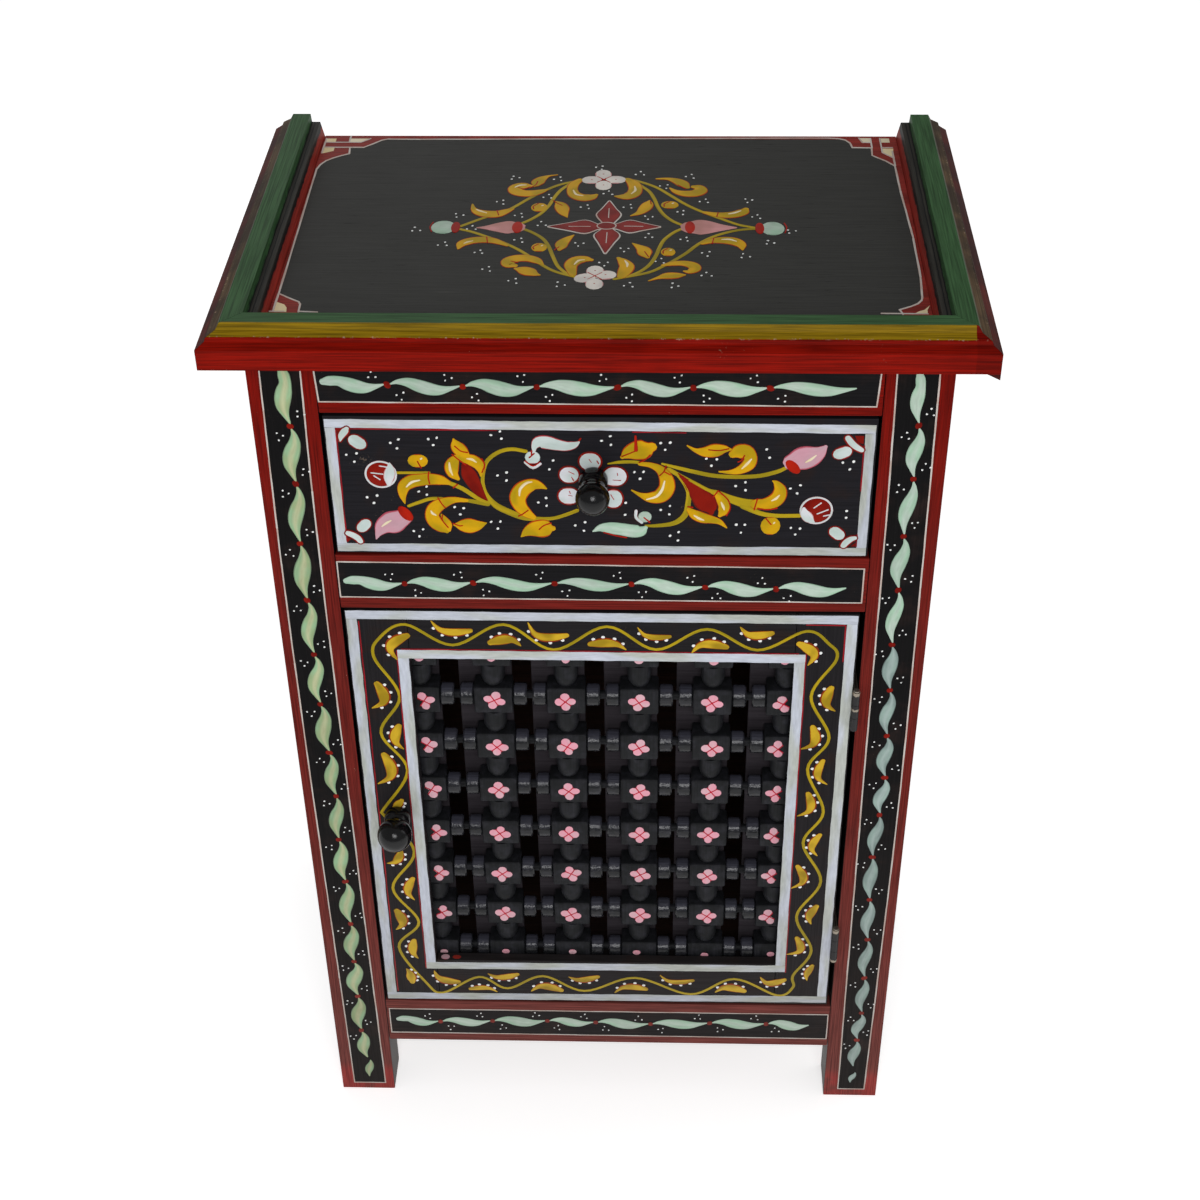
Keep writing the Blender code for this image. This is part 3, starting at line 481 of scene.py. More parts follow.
upper_high = box_mm("upper_hinge_door_leaf")[1].z
lower_low, lower_high = (corner.z for corner in box_mm("lower_hinge_door_leaf"))
WORN_LEVELS = ((upper_high - 2.5, upper_high + 5), (upper_high - 16, upper_high - 14),
               (lower_high - 2.5, lower_high + 5), (lower_low - 5, lower_low + 2))
hinge_metal = metal("painted_hinge", pigment(160, 150, 136), 0.45, WORN_LEVELS)
pin_metal = metal("painted_hinge_pin", pigment(170, 162, 150), 0.4, WORN_LEVELS)
screw_metal = metal("zinc_screw", pigment(176, 178, 182), 0.35)
backing_dark = coat("dark_backing", wood_tones(pigment(54, 50, 54), pigment(42, 38, 42)), 0,
                    **BARE_FINISH, greying=0.0)


def moulded_brown(here, x, y, z, spot):
    """The cloudy brown of a moulded catch."""
    return noise(here, spot, 0.2).mix(pigment(74, 44, 26), pigment(88, 54, 32))


catch_brown = coat("brown_catch", moulded_brown, 0, gloss=(0.4, 0.5), ripple=0.01)
print("plain looks:", bare_across.name, bare_inward.name, dark_stain.name, hinge_metal.name, screw_metal.name)

# %% [markdown]
# ## Dressing the boards
# Every joined piece gets its coat. Sharp factory corners look false, so each flat board first has its split
# corners joined, its flat triangles merged, and then a narrow Bevel run along every edge, as sandpaper
# leaves it. The top, its moulded rim and the metal keep the edges they have.

# %% Ease the edges and hand out the coats
EASED = 0.6
CATCH_EASED = 0.3
SPLIT_CORNER = 0.001
FLAT_ANGLE = math.radians(1)
EDGE_ANGLE = math.radians(35)


def dress(look, *names, ease=EASED):
    """Give pieces of the frame their coat and, where ease is not zero, softened edges."""
    for name in names:
        piece = nodes[name]
        for index in range(len(piece.data.materials)):
            piece.material_slots[index].link = "OBJECT"
            piece.material_slots[index].material = look
        if ease:
            weld = piece.modifiers.new("join_corners", "WELD")
            weld.merge_threshold = SPLIT_CORNER * MM
            flat = piece.modifiers.new("merge_flats", "DECIMATE")
            flat.decimate_type = "DISSOLVE"
            flat.angle_limit = FLAT_ANGLE
            bevel = piece.modifiers.new("ease_edges", "BEVEL")
            bevel.width = ease * MM
            bevel.segments = 2
            bevel.limit_method = "ANGLE"
            bevel.angle_limit = EDGE_ANGLE


dress(red_upright, "front_left_leg", "front_right_leg", "rear_left_leg", "rear_right_leg")
dress(red_level, "front_top_rail", "front_middle_rail", "front_bottom_rail")
dress(dark_stain, "rear_top_rail", "rear_bottom_rail", "back_panel", "bottom_board")
dress(backing_dark, "lattice_backing")
dress(stain_inward, "left_drawer_runner", "right_drawer_runner", "left_top_cleat", "right_top_cleat")
dress(black_upright, "left_side_panel", "right_side_panel")
dress(door_upright, "door_left_stile", "door_right_stile")
dress(door_level, "door_top_rail", "door_bottom_rail")
dress(drawer_black, "drawer_front")
dress(board_paint, "top_panel", ease=0)
dress(rim_along_x, "top_front_moulding", ease=0)
dress(rim_along_y, "top_left_moulding", "top_right_moulding", ease=0)
dress(bare_inward, "drawer_left_side", "drawer_right_side")
dress(bare_across, "drawer_back", "drawer_bottom")
dress(hinge_metal, "upper_hinge_frame_leaf", "lower_hinge_frame_leaf", ease=0)
dress(hinge_metal, "upper_hinge_door_leaf", "lower_hinge_door_leaf", ease=0)
dress(pin_metal, "upper_hinge_pin", "lower_hinge_pin", ease=0)
dress(screw_metal, "drawer_knob_screw", "door_knob_screw", "catch_plate", ease=0)
dress(catch_brown, "catch_body", ease=CATCH_EASED)
print("boards with eased edges:", sum(1 for piece in nodes.values() if piece.modifiers))

# %% [markdown]
# ## Brush marks
# The painter loaded a small round brush and pulled it along, pressing to widen the mark and lifting to end
# it in a point. A mark is therefore a path with a width at each point. Curves with a bevel could make the
# same shape, but a mesh built ring by ring can also carry, on every vertex, how far across and along the
# mark it lies. Materials read that to lay bristle tracks along a leaf. All marks of one paint on one face
# share a mesh.

# %% Directions, skins and smooth pieces
def left_of(way):
    """The direction a quarter turn to the left."""
    return Vector((-way.y, way.x))


def towards(degrees):
    """A step of length 1 in a direction, counted from the right."""
    angle = math.radians(degrees)
    return Vector((math.cos(angle), math.sin(angle)))


def skin(bm, rings):
    """Join rings of vertices into a closed tube with flat ends."""
    for ring, following in zip(rings, rings[1:]):
        for i in range(len(ring)):
            bm.faces.new((ring[i - 1], ring[i], following[i], following[i - 1]))
    bm.faces.new(rings[0])
    bm.faces.new(reversed(rings[-1]))


def smooth_piece(name, bm, look, body, crease, replaced=()):
    """Make an object that rides on a body, smooth except at creases, perhaps in place of joined pieces."""
    bmesh.ops.recalc_face_normals(bm, faces=bm.faces)
    for face in bm.faces:
        face.smooth = True
    mesh = bpy.data.meshes.new(name)
    bm.to_mesh(mesh)
    bm.free()
    mesh.set_sharp_from_angle(angle=math.radians(crease))
    mesh.materials.append(look)
    piece = into_scene(name, mesh)
    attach(piece, body)
    if replaced:
        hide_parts(*replaced)
    return len(mesh.polygons)


print("left of a step to the right is", tuple(left_of(towards(0))))

# %% Smooth paths
HALF_ROUND = ((0.55, 0.82), (0.92, 0.4))


def flowing(points, steps):
    """A smooth path through points of any length, with some steps between each two."""
    points = [Vector(point) for point in points]
    ends = [2 * points[0] - points[1], *points, 2 * points[-1] - points[-2]]
    path = []
    for before, start, stop, after in zip(ends, ends[1:], ends[2:], ends[3:]):
        for step in range(steps):
            t = step / steps
            path.append(0.5 * (2 * start + (stop - before) * t
                               + (2 * before - 5 * start + 4 * stop - after) * t * t
                               + (3 * start - before - 3 * stop + after) * t ** 3))
    return path + [points[-1]]


def rounded_ends(path):
    """The path with its ends drawn out to a half round."""
    grown = list(path)
    for end, inner, at_start in ((path[0], path[1], True), (path[-1], path[-2], False)):
        way = (end.xy - inner.xy).normalized()
        for reach, share in HALF_ROUND:
            spot = end.xy + way * reach * end.z
            grown.insert(0 if at_start else len(grown), Vector((*spot, share * end.z)))
    return grown


print("a path through 3 points in 4 steps has", len(flowing(((0, 0), (1, 0), (2, 1)), 4)), "spots")

# %% Strokes, dabs and patches
DOME = 0.22
SECTION = ((-1.0, -0.6), (-0.97, 0.6), (0.0, 1.0), (0.97, 0.6), (1.0, -0.6))
DAB_RINGS = ((1.0, -0.6), (0.96, 0.6), (0.45, 1.0))
PATCH_HEIGHTS = (-0.6, 0.3)
LEAST_HALF = 0.1
MARK_CREASE = 35


class Brushwork:
    """Marks of one paint on one face of the cabinet, gathered into a single thin mesh."""

    made = []

    def __init__(self, name, face, look, body, slot, lift=0.0):
        self.name = name
        self.face = face
        self.look = look
        self.body = body
        self.slot = slot
        self.lift = lift
        self.bm = bmesh.new()
        self.tint = self.bm.verts.layers.float_color.new("brush")
        Brushwork.made.append(self)

    def point(self, spot, height, across, along, mark):
        """A vertex at a spot of the face, raised by height, that knows its place in its mark."""
        vert = self.bm.verts.new(self.face(spot.x, spot.y, height * DOME + self.lift))
        vert[self.tint] = (across, along, mark, 1.0)
        return vert

    def stroke(self, points, steps=4, round_ends=True):
        """A mark through points of (a, b, half width), slightly domed like wet paint."""
        mark = dice.random()
        path = flowing(points, steps)
        if round_ends:
            path = rounded_ends(path)
        rings = []
        length = 0.0
        for i, spot in enumerate(path):
            back = path[max(i - 1, 0)]
            way = path[min(i + 1, len(path) - 1)].xy - back.xy
            length += (spot.xy - back.xy).length
            aside = left_of(way).normalized() * max(spot.z, LEAST_HALF)
            rings.append([self.point(spot.xy + aside * s, h, 0.5 + 0.5 * s, length, mark)
                          for s, h in SECTION])
        skin(self.bm, rings)

    def line(self, *points, half=0.35):
        """A thin mark of even width through points of (a, b)."""
        self.stroke([(*point, half) for point in points], 3)

    def dab(self, a, b, long, wide, turn=0.0, sides=12):
        """A rounded touch of the brush: an ellipse with half lengths long and wide, turned in degrees."""
        mark = dice.random()
        ends = towards(turn)
        flank = left_of(ends)
        rings = []
        for share, height in DAB_RINGS:
            ring = []
            for i in range(sides):
                angle = math.tau * i / sides
                spot = share * (long * math.cos(angle) * ends + wide * math.sin(angle) * flank)
                across = 0.5 + 0.5 * share * math.sin(angle)
                along = share * long * math.cos(angle)
                ring.append(self.point(Vector((a, b)) + spot, height, across, along, mark))
            rings.append(ring)
        skin(self.bm, rings)

    def patch(self, outline):
        """A flat painted area inside an outline of (a, b) points."""
        mark = dice.random()
        rings = [[self.point(Vector(spot), height, 0.5, spot[0], mark) for spot in outline]
                 for height in PATCH_HEIGHTS]
        skin(self.bm, rings)

    def finish(self):
        """Turn the gathered marks into an object that rides on its body."""
        if not self.bm.faces:
            self.bm.free()
            return 0
        return smooth_piece(self.name, self.bm, self.look, self.body, MARK_CREASE)


def on_front(a, b, height):
    """A point on the front: a to the right, b up and height towards the room, all in millimetres."""
    return Vector((a, front_mm - height, b)) * MM


def on_top(a, b, height):
    """A point on the top board: a to the right, b to the back and height up."""
    return Vector((a, b, top_mm + height)) * MM


print("a mark's dome is", DOME, "mm high")

# %% [markdown]
# ## Paints for the marks
# No two touches of a brush have quite the same colour. Each paint here drifts between two tones along its
# mark, has noise drawn out along the stroke for the tracks of the bristles, and may have a rim of another
# colour, where a wet leaf was edged with red.

# %% A paint for brush marks
def brush_paint(name, first, second, rim=None, depth=0.3, gloss=0.36, drift=0.06, heart=None):
    """Paint that drifts between two tones, with bristle tracks and perhaps a rim or heart of its own."""
    look, shader, here = new_look(name, gloss, 0.04)
    across = here.node("SeparateXYZ", None, {
        0: here.node("Attribute", {"attribute_name": "brush"}, out="Vector")})
    along = across.out("Y")
    mark = across.out("Z")
    tracks = here.node("CombineXYZ", None, {0: across * 5.0, 1: along * 0.12, 2: mark * 50.0})
    bristle = noise(here, tracks, 1.0, 3.0)
    slow = here.node("CombineXYZ", None, {0: across * 0.8, 1: along * drift, 2: mark * 90.0})
    colour = noise(here, slow, 1.0, 1.0).between(0.36, 0.64).mix(first, second)
    if heart:
        middle = 1 - (abs(across - 0.52) + 0.3 * (bristle - 0.5)).between(0.04, 0.3)
        colour = (0.75 * middle).mix(colour, heart)
    if rim:
        edge = abs(across - 0.5) + 0.1 * (bristle - 0.5)
        colour = edge.between(0.41, 0.46).mix(colour, rim)
    x, y, z, spot = place_mm(here)
    value = 1 - 0.5 * depth + depth * (0.75 * bristle + 0.25 * mark)
    toned = here.node("HueSaturation", None, {"Color": greyed_towards_floor(z, colour), "Value": value})
    feed(shader, "Base Color", toned)
    feed(shader, "Roughness", gloss + 0.2 * (bristle - 0.5))
    feed(shader, "Normal", here.node("Bump", None, {
        "Strength": 0.5, "Distance": 0.05 * MM, "Height": bristle}))
    return look


mint_paint = brush_paint("mint_leaf", MINT, pigment(174, 191, 178), shade(MINT, 0.75), 0.7,
                         heart=pigment(180, 198, 184))
grey_leaf_paint = brush_paint("grey_leaf", pigment(146, 168, 160), pigment(128, 145, 141),
                              pigment(102, 118, 114), 0.8, heart=pigment(160, 176, 172))
leg_leaf_paint = brush_paint("leg_leaf", pigment(142, 176, 138), pigment(144, 164, 122),
                             pigment(112, 134, 108), 0.7, heart=pigment(186, 186, 148))
border_paint = brush_paint("white_border", WHITE, pigment(174, 178, 172), None, 0.8, drift=0.02)
line_paint = brush_paint("cream_line", pigment(198, 192, 186), pigment(186, 166, 156))
PETAL_RIM = pigment(196, 140, 140)
petal_paint = brush_paint("white_petal", pigment(212, 213, 218), pigment(190, 201, 199), PETAL_RIM)
dot_paint = brush_paint("white_dot", pigment(238, 239, 238), pigment(220, 222, 220))
yellow_paint = brush_paint("yellow_leaf", YELLOW, pigment(172, 142, 16), pigment(172, 66, 12))
olive_paint = brush_paint("olive_stem", OLIVE, pigment(148, 130, 22), shade(OLIVE, 0.6), drift=0.03)
pink_paint = brush_paint("pink_petal", PINK, pigment(216, 172, 182), pigment(196, 84, 104))
red_paint = brush_paint("red_accent", RED, pigment(146, 22, 8))
brick_paint = brush_paint("brick_petal", pigment(130, 21, 8), pigment(108, 14, 6), pigment(96, 22, 13))
shine_paint = brush_paint("cream_shine", CREAM, pigment(222, 204, 156))
edge_paint = brush_paint("crimson_edge", pigment(156, 26, 36), pigment(112, 18, 26))
rail_black = coat("rail_black", worn_black(BLACK), 0, greying=BLACK_GREYING)
leg_black = coat("leg_black", worn_black(pigment(16, 15, 16)), 2, greying=BLACK_GREYING)
print("paints for marks:", mint_paint.name, border_paint.name, yellow_paint.name, pink_paint.name)

# %% [markdown]
# ## Legs and rails
# Down each leg and along each rail runs a black field between two pale lines, filled by a chain of mint
# leaves. Each leaf sways one way and then the other, a red knot sits between two leaves, and three dots
# fill the gap on each side. Only the places of the knots were measured: everything else follows.

# %% Leaves, dots and lines by hand
LEAF_SHAPE = ((0.0, 0.3, 0.12), (0.1, 0.8, 0.38), (0.25, 0.75, 0.74), (0.4, 0.0, 0.98), (0.55, -0.7, 1.0),
              (0.7, -1.0, 0.8), (0.85, -0.6, 0.42), (1.0, 0.1, 0.12))
BLUNT_SHAPE = ((0.0, 0.4, 0.5), (0.1, 0.7, 0.72), *LEAF_SHAPE[2:])


def jitter(amount):
    """A small slip of the painter's hand."""
    return dice.uniform(-amount, amount)


def swaying_leaf(work, start, stop, half, sway, shape=LEAF_SHAPE):
    """A leaf from start to stop that leans to its left and then to its right."""
    start, stop = Vector(start), Vector(stop)
    way = stop - start
    aside = left_of(way).normalized()
    half *= 1 + jitter(0.1)
    sway *= 1 + jitter(0.25)
    work.stroke([(*(start + t * way + lean * sway * aside), half * wide) for t, lean, wide in shape])


def three_dots(work, a, b, size=0.68, spread=2.9, turn=None):
    """Three touches of the brush tip in a small triangle."""
    turn = dice.uniform(0, 120) if turn is None else turn
    for i in range(3):
        angle = math.radians(turn + 120 * i + jitter(12))
        reach = spread * (1 + jitter(0.15))
        work.dab(a + reach * math.cos(angle), b + reach * math.sin(angle),
                 size * (1.1 + jitter(0.15)), size * (0.95 + jitter(0.15)), 30 + jitter(40), 8)


def leaf_chain(leaves, start, knots, stop, half, sway, low_leaves=None, change=0.0, gap=2.2):
    """Leaves between knots, other leaves below a change of level, and knots and dots where two meet."""
    stations = [Vector(start), *[Vector(knot) for knot in knots], Vector(stop)]
    for here, there in zip(stations, stations[1:]):
        way = (there - here).normalized()
        first = here + way * (gap if here != stations[0] else 0)
        last = there - way * (gap if there != stations[-1] else 0)
        work = low_leaves if here.y < change else leaves
        swaying_leaf(work, first, last, half, sway, BLUNT_SHAPE if here == stations[0] else LEAF_SHAPE)
    for knot, following in zip(stations[1:-1], stations[2:]):
        way = (following - knot).normalized()
        aside = left_of(way)
        frame_knots.dab(*knot, 2.4 + jitter(0.4), 2.1, dice.uniform(0, 180), 9)
        for spot in (knot - 9 * way + 6.4 * aside, knot + 7.5 * way - 7.2 * aside):
            three_dots(frame_dots, *spot, 0.62, 2.6)


def hand_line(work, points, half=0.45, shake=0.12, spacing=14, press=0.15, round_ends=True):
    """A line ruled by hand through points, with a little shake in place and a changing press in width."""
    for start, stop in zip(points, points[1:]):
        start, stop = Vector(start), Vector(stop)
        count = max(1, round((stop - start).length / spacing))
        spots = [start.lerp(stop, i / count) + Vector((jitter(shake), jitter(shake)))
                 for i in range(count + 1)]
        spots[0], spots[-1] = start, stop
        work.stroke([(*spot, half * (1 + jitter(press))) for spot in spots], 2, round_ends)


leg_fields = Brushwork("leg_black_fields", on_front, leg_black, "carcass", "frame_paint", -0.02)
rail_fields = Brushwork("rail_black_fields", on_front, rail_black, "carcass", "rail_paint", -0.02)
frame_lines = Brushwork("frame_pale_lines", on_front, line_paint, "carcass", "frame_paint")
leg_leaves = Brushwork("left_leg_leaves", on_front, leg_leaf_paint, "carcass", "frame_paint", 0.05)
mint_leaves = Brushwork("right_leg_upper_leaves", on_front, mint_paint, "carcass", "frame_paint", 0.05)
grey_leaves = Brushwork("right_leg_leaves", on_front, grey_leaf_paint, "carcass", "frame_paint", 0.05)
rail_leaves = Brushwork("rail_leaves", on_front, mint_paint, "carcass", "rail_paint", 0.05)
frame_knots = Brushwork("frame_knots", on_front, brick_paint, "carcass", "frame_paint", 0.1)
frame_dots = Brushwork("frame_dots", on_front, dot_paint, "carcass", "frame_paint", 0.08)
print("a leaf sways over", len(LEAF_SHAPE), "points")

# %% Chains down the legs
LEFT_KNOTS = ((-187, 619.5), (-188, 577.5), (-190, 532), (-190, 487), (-190, 442), (-190, 399), (-188, 355.5),
              (-187, 315), (-189, 273), (-188, 231), (-188, 187), (-189, 146.5), (-189.5, 108), (-190, 69))
RIGHT_KNOTS = (
    (191, 622.5), (191, 584), (188.5, 541), (188.5, 499), (188, 454.5), (189.5, 416), (190.5, 376),
    (192, 338), (191, 303), (189, 262), (190, 219), (191.5, 177.5), (192, 136), (192.5, 97), (191, 66))
leaf_chain(leg_leaves, (-189, 659), LEFT_KNOTS, (-188, 38), 5.2, 2.2)
leaf_chain(mint_leaves, (188, 658), RIGHT_KNOTS, (190, 36), 4.5, 1.9, grey_leaves, 470)
swaying_leaf(leg_leaves, (-186, 34), (-188, 15), 3.4, 0.8)
swaying_leaf(grey_leaves, (192, 28), (189, 16), 2.2, 0.8)

LEFT_OUTER = ((-201.5, 660), (-203.5, 510), (-203, 300), (-200.5, 7))
LEFT_INNER = ((-177, 660), (-178.5, 540), (-178, 300), (-176, 7))
RIGHT_INNER = ((175.5, 660), (177, 540), (178, 300), (180, 8))
RIGHT_OUTER = ((200.5, 660), (202, 540), (203.5, 300), (200.5, 8))
for outer_line, inner_line in ((LEFT_OUTER, LEFT_INNER), (RIGHT_OUTER, RIGHT_INNER)):
    edges = [[spot.xy for spot in flowing([(*spot, 0) for spot in line], 5)]
             for line in (outer_line, inner_line)]
    leg_fields.patch(edges[0] + edges[1][::-1])
    for edge in edges:
        hand_line(frame_lines, edge, 0.5)
    hand_line(frame_lines, (outer_line[-1], inner_line[-1]))
print(len(LEFT_KNOTS), "knots on the left leg and", len(RIGHT_KNOTS), "on the right")

# %% Chains along the rails
RAIL_CHAINS = (
    ((-164, 650), ((-126, 649), (-81, 648), (-37, 648), (11, 648), (56, 648), (101.5, 648)), (152, 648)),
    ((-163, 502), ((-126, 501), (-82, 502), (-30, 502), (19, 502), (66, 500), (111, 499)), (155, 500)),
    ((-160, 82), ((-128, 80.5), (-88, 82), (-46, 83), (-9, 82), (33, 81), (78, 83), (121, 83)), (153, 82)))
RAIL_FIELDS = (
    ((-169.5, 671), (167, 671), (165, 635.5), (-168, 637)),
    ((-168, 518), (166, 515.5), (166, 488.5), (-168, 490)),
    ((-166.5, 94.5), (167.5, 94.5), (167.5, 67), (-166.5, 67.5)))
for start, knots, stop in RAIL_CHAINS:
    leaf_chain(rail_leaves, start, knots, stop, 4.7, 2.3)
for corners in RAIL_FIELDS:
    rail_fields.patch(corners)
    hand_line(frame_lines, (*corners, corners[0]))
print(sum(len(knots) for start, knots, stop in RAIL_CHAINS), "knots on the rails")

# %% [markdown]
# ## A box of paints for one spray
# The same few paints return on the top, the drawer and the door: olive stems first, then yellow leaves,
# pink and mint buds and white petals, and last the thin red lines and cream lights. Later paints lie a
# little higher, so that a line on a leaf is never lost in it.

# %% Paints in the order they were laid
LAYERS = (("stems", olive_paint, 0.0), ("outlines", line_paint, 0.03), ("bricks", brick_paint, 0.06),
          ("leaves", yellow_paint, 0.1), ("pinks", pink_paint, 0.1), ("mints", mint_paint, 0.1),
          ("petals", petal_paint, 0.14), ("dots", dot_paint, 0.1), ("reds", red_paint, 0.2),
          ("lights", shine_paint, 0.24), ("tips", petal_paint, 0.24))


class Posy:
    """One Brushwork for each paint of a flower spray on one face."""

    def __init__(self, name, face, body, slot):
        for paint, look, lift in LAYERS:
            setattr(self, paint, Brushwork(f"{name}_{paint}", face, look, body, slot, lift))

    def light(self, *points):
        """A cream light that swells in its middle."""
        halves = [0.4] + [0.85] * (len(points) - 2) + [0.4]
        self.lights.stroke([(*point, half) for point, half in zip(points, halves)], 3)

    def fruit(self, a, b, long, wide, *tick):
        """A round yellow fruit with a red tick and a cream light."""
        self.leaves.dab(a, b, long, wide, 0, 14)
        self.reds.line(*tick, half=0.45)
        self.lights.dab(a + 0.35 * long, b + 0.35 * wide, 1.1, 0.6, 45, 8)

    def bud(self, petal, calyx):
        """A pink bud that narrows to a point, held by a red calyx."""
        self.pinks.stroke(petal)
        self.bricks.dab(*calyx, sides=14)
        self.reds.dab(*calyx, sides=14)


def oval(a, b, long, wide, sides=16):
    """Spots round an oval, ending where they began."""
    angles = [math.tau * i / sides for i in range(sides + 1)]
    return [(a + long * math.cos(angle), b + wide * math.sin(angle)) for angle in angles]


print(len(LAYERS), "paints for a spray")

# %% [markdown]
# ## Top board
# Each corner of the top has an angular interlace of red patches, cream blocks and pale lines, and no two
# are quite alike. In the middle lies a diamond of stems around a red flower, with buds at its sides and
# white flowers at its ends.

# %% Corner interlace
dull_red = coat("dull_red", wood_tones(DULL_RED, shade(DULL_RED, 0.7)), 0)
corner_reds = Brushwork("top_corner_reds", on_top, dull_red, "carcass", "top_paint")
corner_blocks = Brushwork("top_corner_blocks", on_top, shine_paint, "carcass", "top_paint", 0.05)
corner_lines = Brushwork("top_corner_lines", on_top, line_paint, "carcass", "top_paint", 0.09)
board_high = box_mm("top_panel")[1]
FIELD = 195.6
FIELD_FRONT = -116.0
BACK_GAP = 0.8
PALE_HALF = 0.6
BACK_LEFT = (
    ((-195.5, 149), (-150, 149), (-150, 145), (-156, 142.5), (-162, 136), (-167, 131), (-176.5, 131),
     (-175.5, 120.5), (-180, 118.5), (-186, 114), (-190, 110), (-193, 104), (-195, 97), (-195.5, 97)),
    (((-130, 144), (-152, 144.3), (-156, 142.5), (-162, 136), (-167, 131), (-194, 131.3)),
     ((-176.5, 131), (-175.7, 121), (-180, 118.5), (-186, 114), (-190, 110), (-193, 104), (-194.7, 97)),
     ((-194.5, 145), (-194.5, 122)), ((-194, 139), (-170, 139), (-164, 145)), ((-178, 139), (-178, 148.5))),
    (((-194.5, 139), (-187.5, 139), (-187.5, 145), (-194.5, 145)),
     ((-178, 145), (-165, 145), (-170.5, 139.5), (-178, 139.5)),
     ((-194, 130.5), (-187, 130.5), (-187, 125.5), (-194, 121.5))))
BACK_RIGHT = (
    ((195.5, 149), (150, 149), (150, 147.3), (157, 146), (161, 144), (164, 139), (165, 132), (178, 131.5),
     (177.5, 119.5), (181, 116), (186, 111), (191, 104), (195.5, 104)),
    (((130, 147), (150, 147), (157, 146), (161, 144), (164, 139), (165, 132), (178, 131.5), (177.5, 119.5),
      (181, 116), (186, 111), (191, 104)), ((178.3, 131.5), (178.3, 146.5)), ((191.5, 126), (191.5, 104)),
     ((184.7, 146.5), (184.7, 124), (191, 116.5)), ((170.5, 147), (172.5, 140), (178, 140)),
     ((185, 132), (192, 132))),
    (((170.5, 147), (178, 147), (178, 140.3), (172.8, 140.3)),
     ((185, 140), (191, 140), (191, 146.5), (185, 146.5)),
     ((185, 130.5), (192.5, 130.5), (191.5, 117.5), (185, 124))))
FRONT_LEFT = (
    ((-195.5, -70), (-193, -74), (-186, -79.5), (-180, -83.5), (-178.5, -86), (-178, -116), (-195.5, -116)),
    (((-193, -74), (-186, -79.5), (-180, -83.7), (-178.6, -86.5), (-178.2, -96)),
     ((-193.5, -74), (-193.5, -95)), ((-195.5, -95.3), (-187, -95.3)), ((-178, -95.3), (-167, -96))),
    (((-193, -84), (-188, -87), (-186, -91), (-185.5, -96), (-193, -96)),))
FRONT_RIGHT = (
    ((195.5, -76), (191.8, -76), (191, -79), (188.5, -83), (184, -86.5), (179, -89.5), (177, -90.5),
     (178.5, -97), (178.5, -116), (195.5, -116)),
    (((191.8, -76), (191, -79), (188.5, -83), (184, -86.5), (177, -90.5), (178.5, -96)),
     ((166, -94.8), (193, -95.2))),
    (((186, -95.5), (186.3, -94), (188.5, -92), (191.5, -90.5), (195.3, -85), (193.3, -90.5),
      (193, -95.5)),))


def inside_rim(points):
    """Spots of the board, held clear of the rim's foot and of the back edge."""
    back = board_high.y - BACK_GAP
    return [(max(-FIELD, min(FIELD, a)), max(FIELD_FRONT, min(back, b))) for a, b in points]


for red, lines, blocks in (BACK_LEFT, BACK_RIGHT, FRONT_LEFT, FRONT_RIGHT):
    corner_reds.patch(inside_rim(red))
    for block in blocks:
        corner_blocks.patch(inside_rim(block))
    for line in lines:
        hand_line(corner_lines, inside_rim(line), PALE_HALF)
EDGE_LINES = (((-194.6, 97), (-193.4, -74)), ((-130, 144), (130, 147)), ((-143, -111.8), (143, -111.8)),
              ((191.3, 104), (191.6, 66), (193.6, 0), (193.2, -50), (191.7, -76)))
for line in EDGE_LINES:
    hand_line(corner_lines, line, PALE_HALF)
print("four corners and", len(EDGE_LINES), "edge lines on the top")

# %% Diamond of stems and leaves
spray = Posy("top_spray", on_top, "carcass", "top_paint")
spray.pinks.look = brush_paint("top_pink", pigment(206, 146, 146), pigment(180, 128, 122))
spray.petals.look = brush_paint("top_petal", pigment(222, 216, 208), pigment(206, 200, 194), PETAL_RIM)
TOP_STEMS = (
    ((-16, 82), (-30, 75), (-40, 66), (-50, 54), (-58, 43), (-66, 34), (-78, 26), (-91, 15)),
    ((-24, 76), (-30, 66), (-34, 54), (-36.5, 44), (-41, 33), (-47, 24.5), (-52, 19.5)),
    ((-92, 11), (-84, 7.5), (-74, 1), (-64, -6), (-55, -14), (-47, -23), (-38, -35), (-28, -45),
     (-13, -53)),
    ((-52, 12), (-45, 6.5), (-38, -2), (-34, -12), (-31, -24), (-27, -38), (-21, -48)),
    ((12, 83.5), (22, 79), (33, 70.5), (42, 59), (52, 46), (62, 36), (75, 25.5), (85, 18), (95, 14)),
    ((22, 74), (28, 65), (31.5, 54), (34, 42), (38, 31), (44, 22), (51, 16)),
    ((95, 12.5), (86, 11), (76, 6.5), (67, 0), (59, -9), (52, -20), (45, -29), (38, -37), (28, -46),
     (8, -54)),
    ((50, 13), (44, 7), (38, -3), (35, -14), (33, -24), (29, -36), (23, -45), (16, -51)))
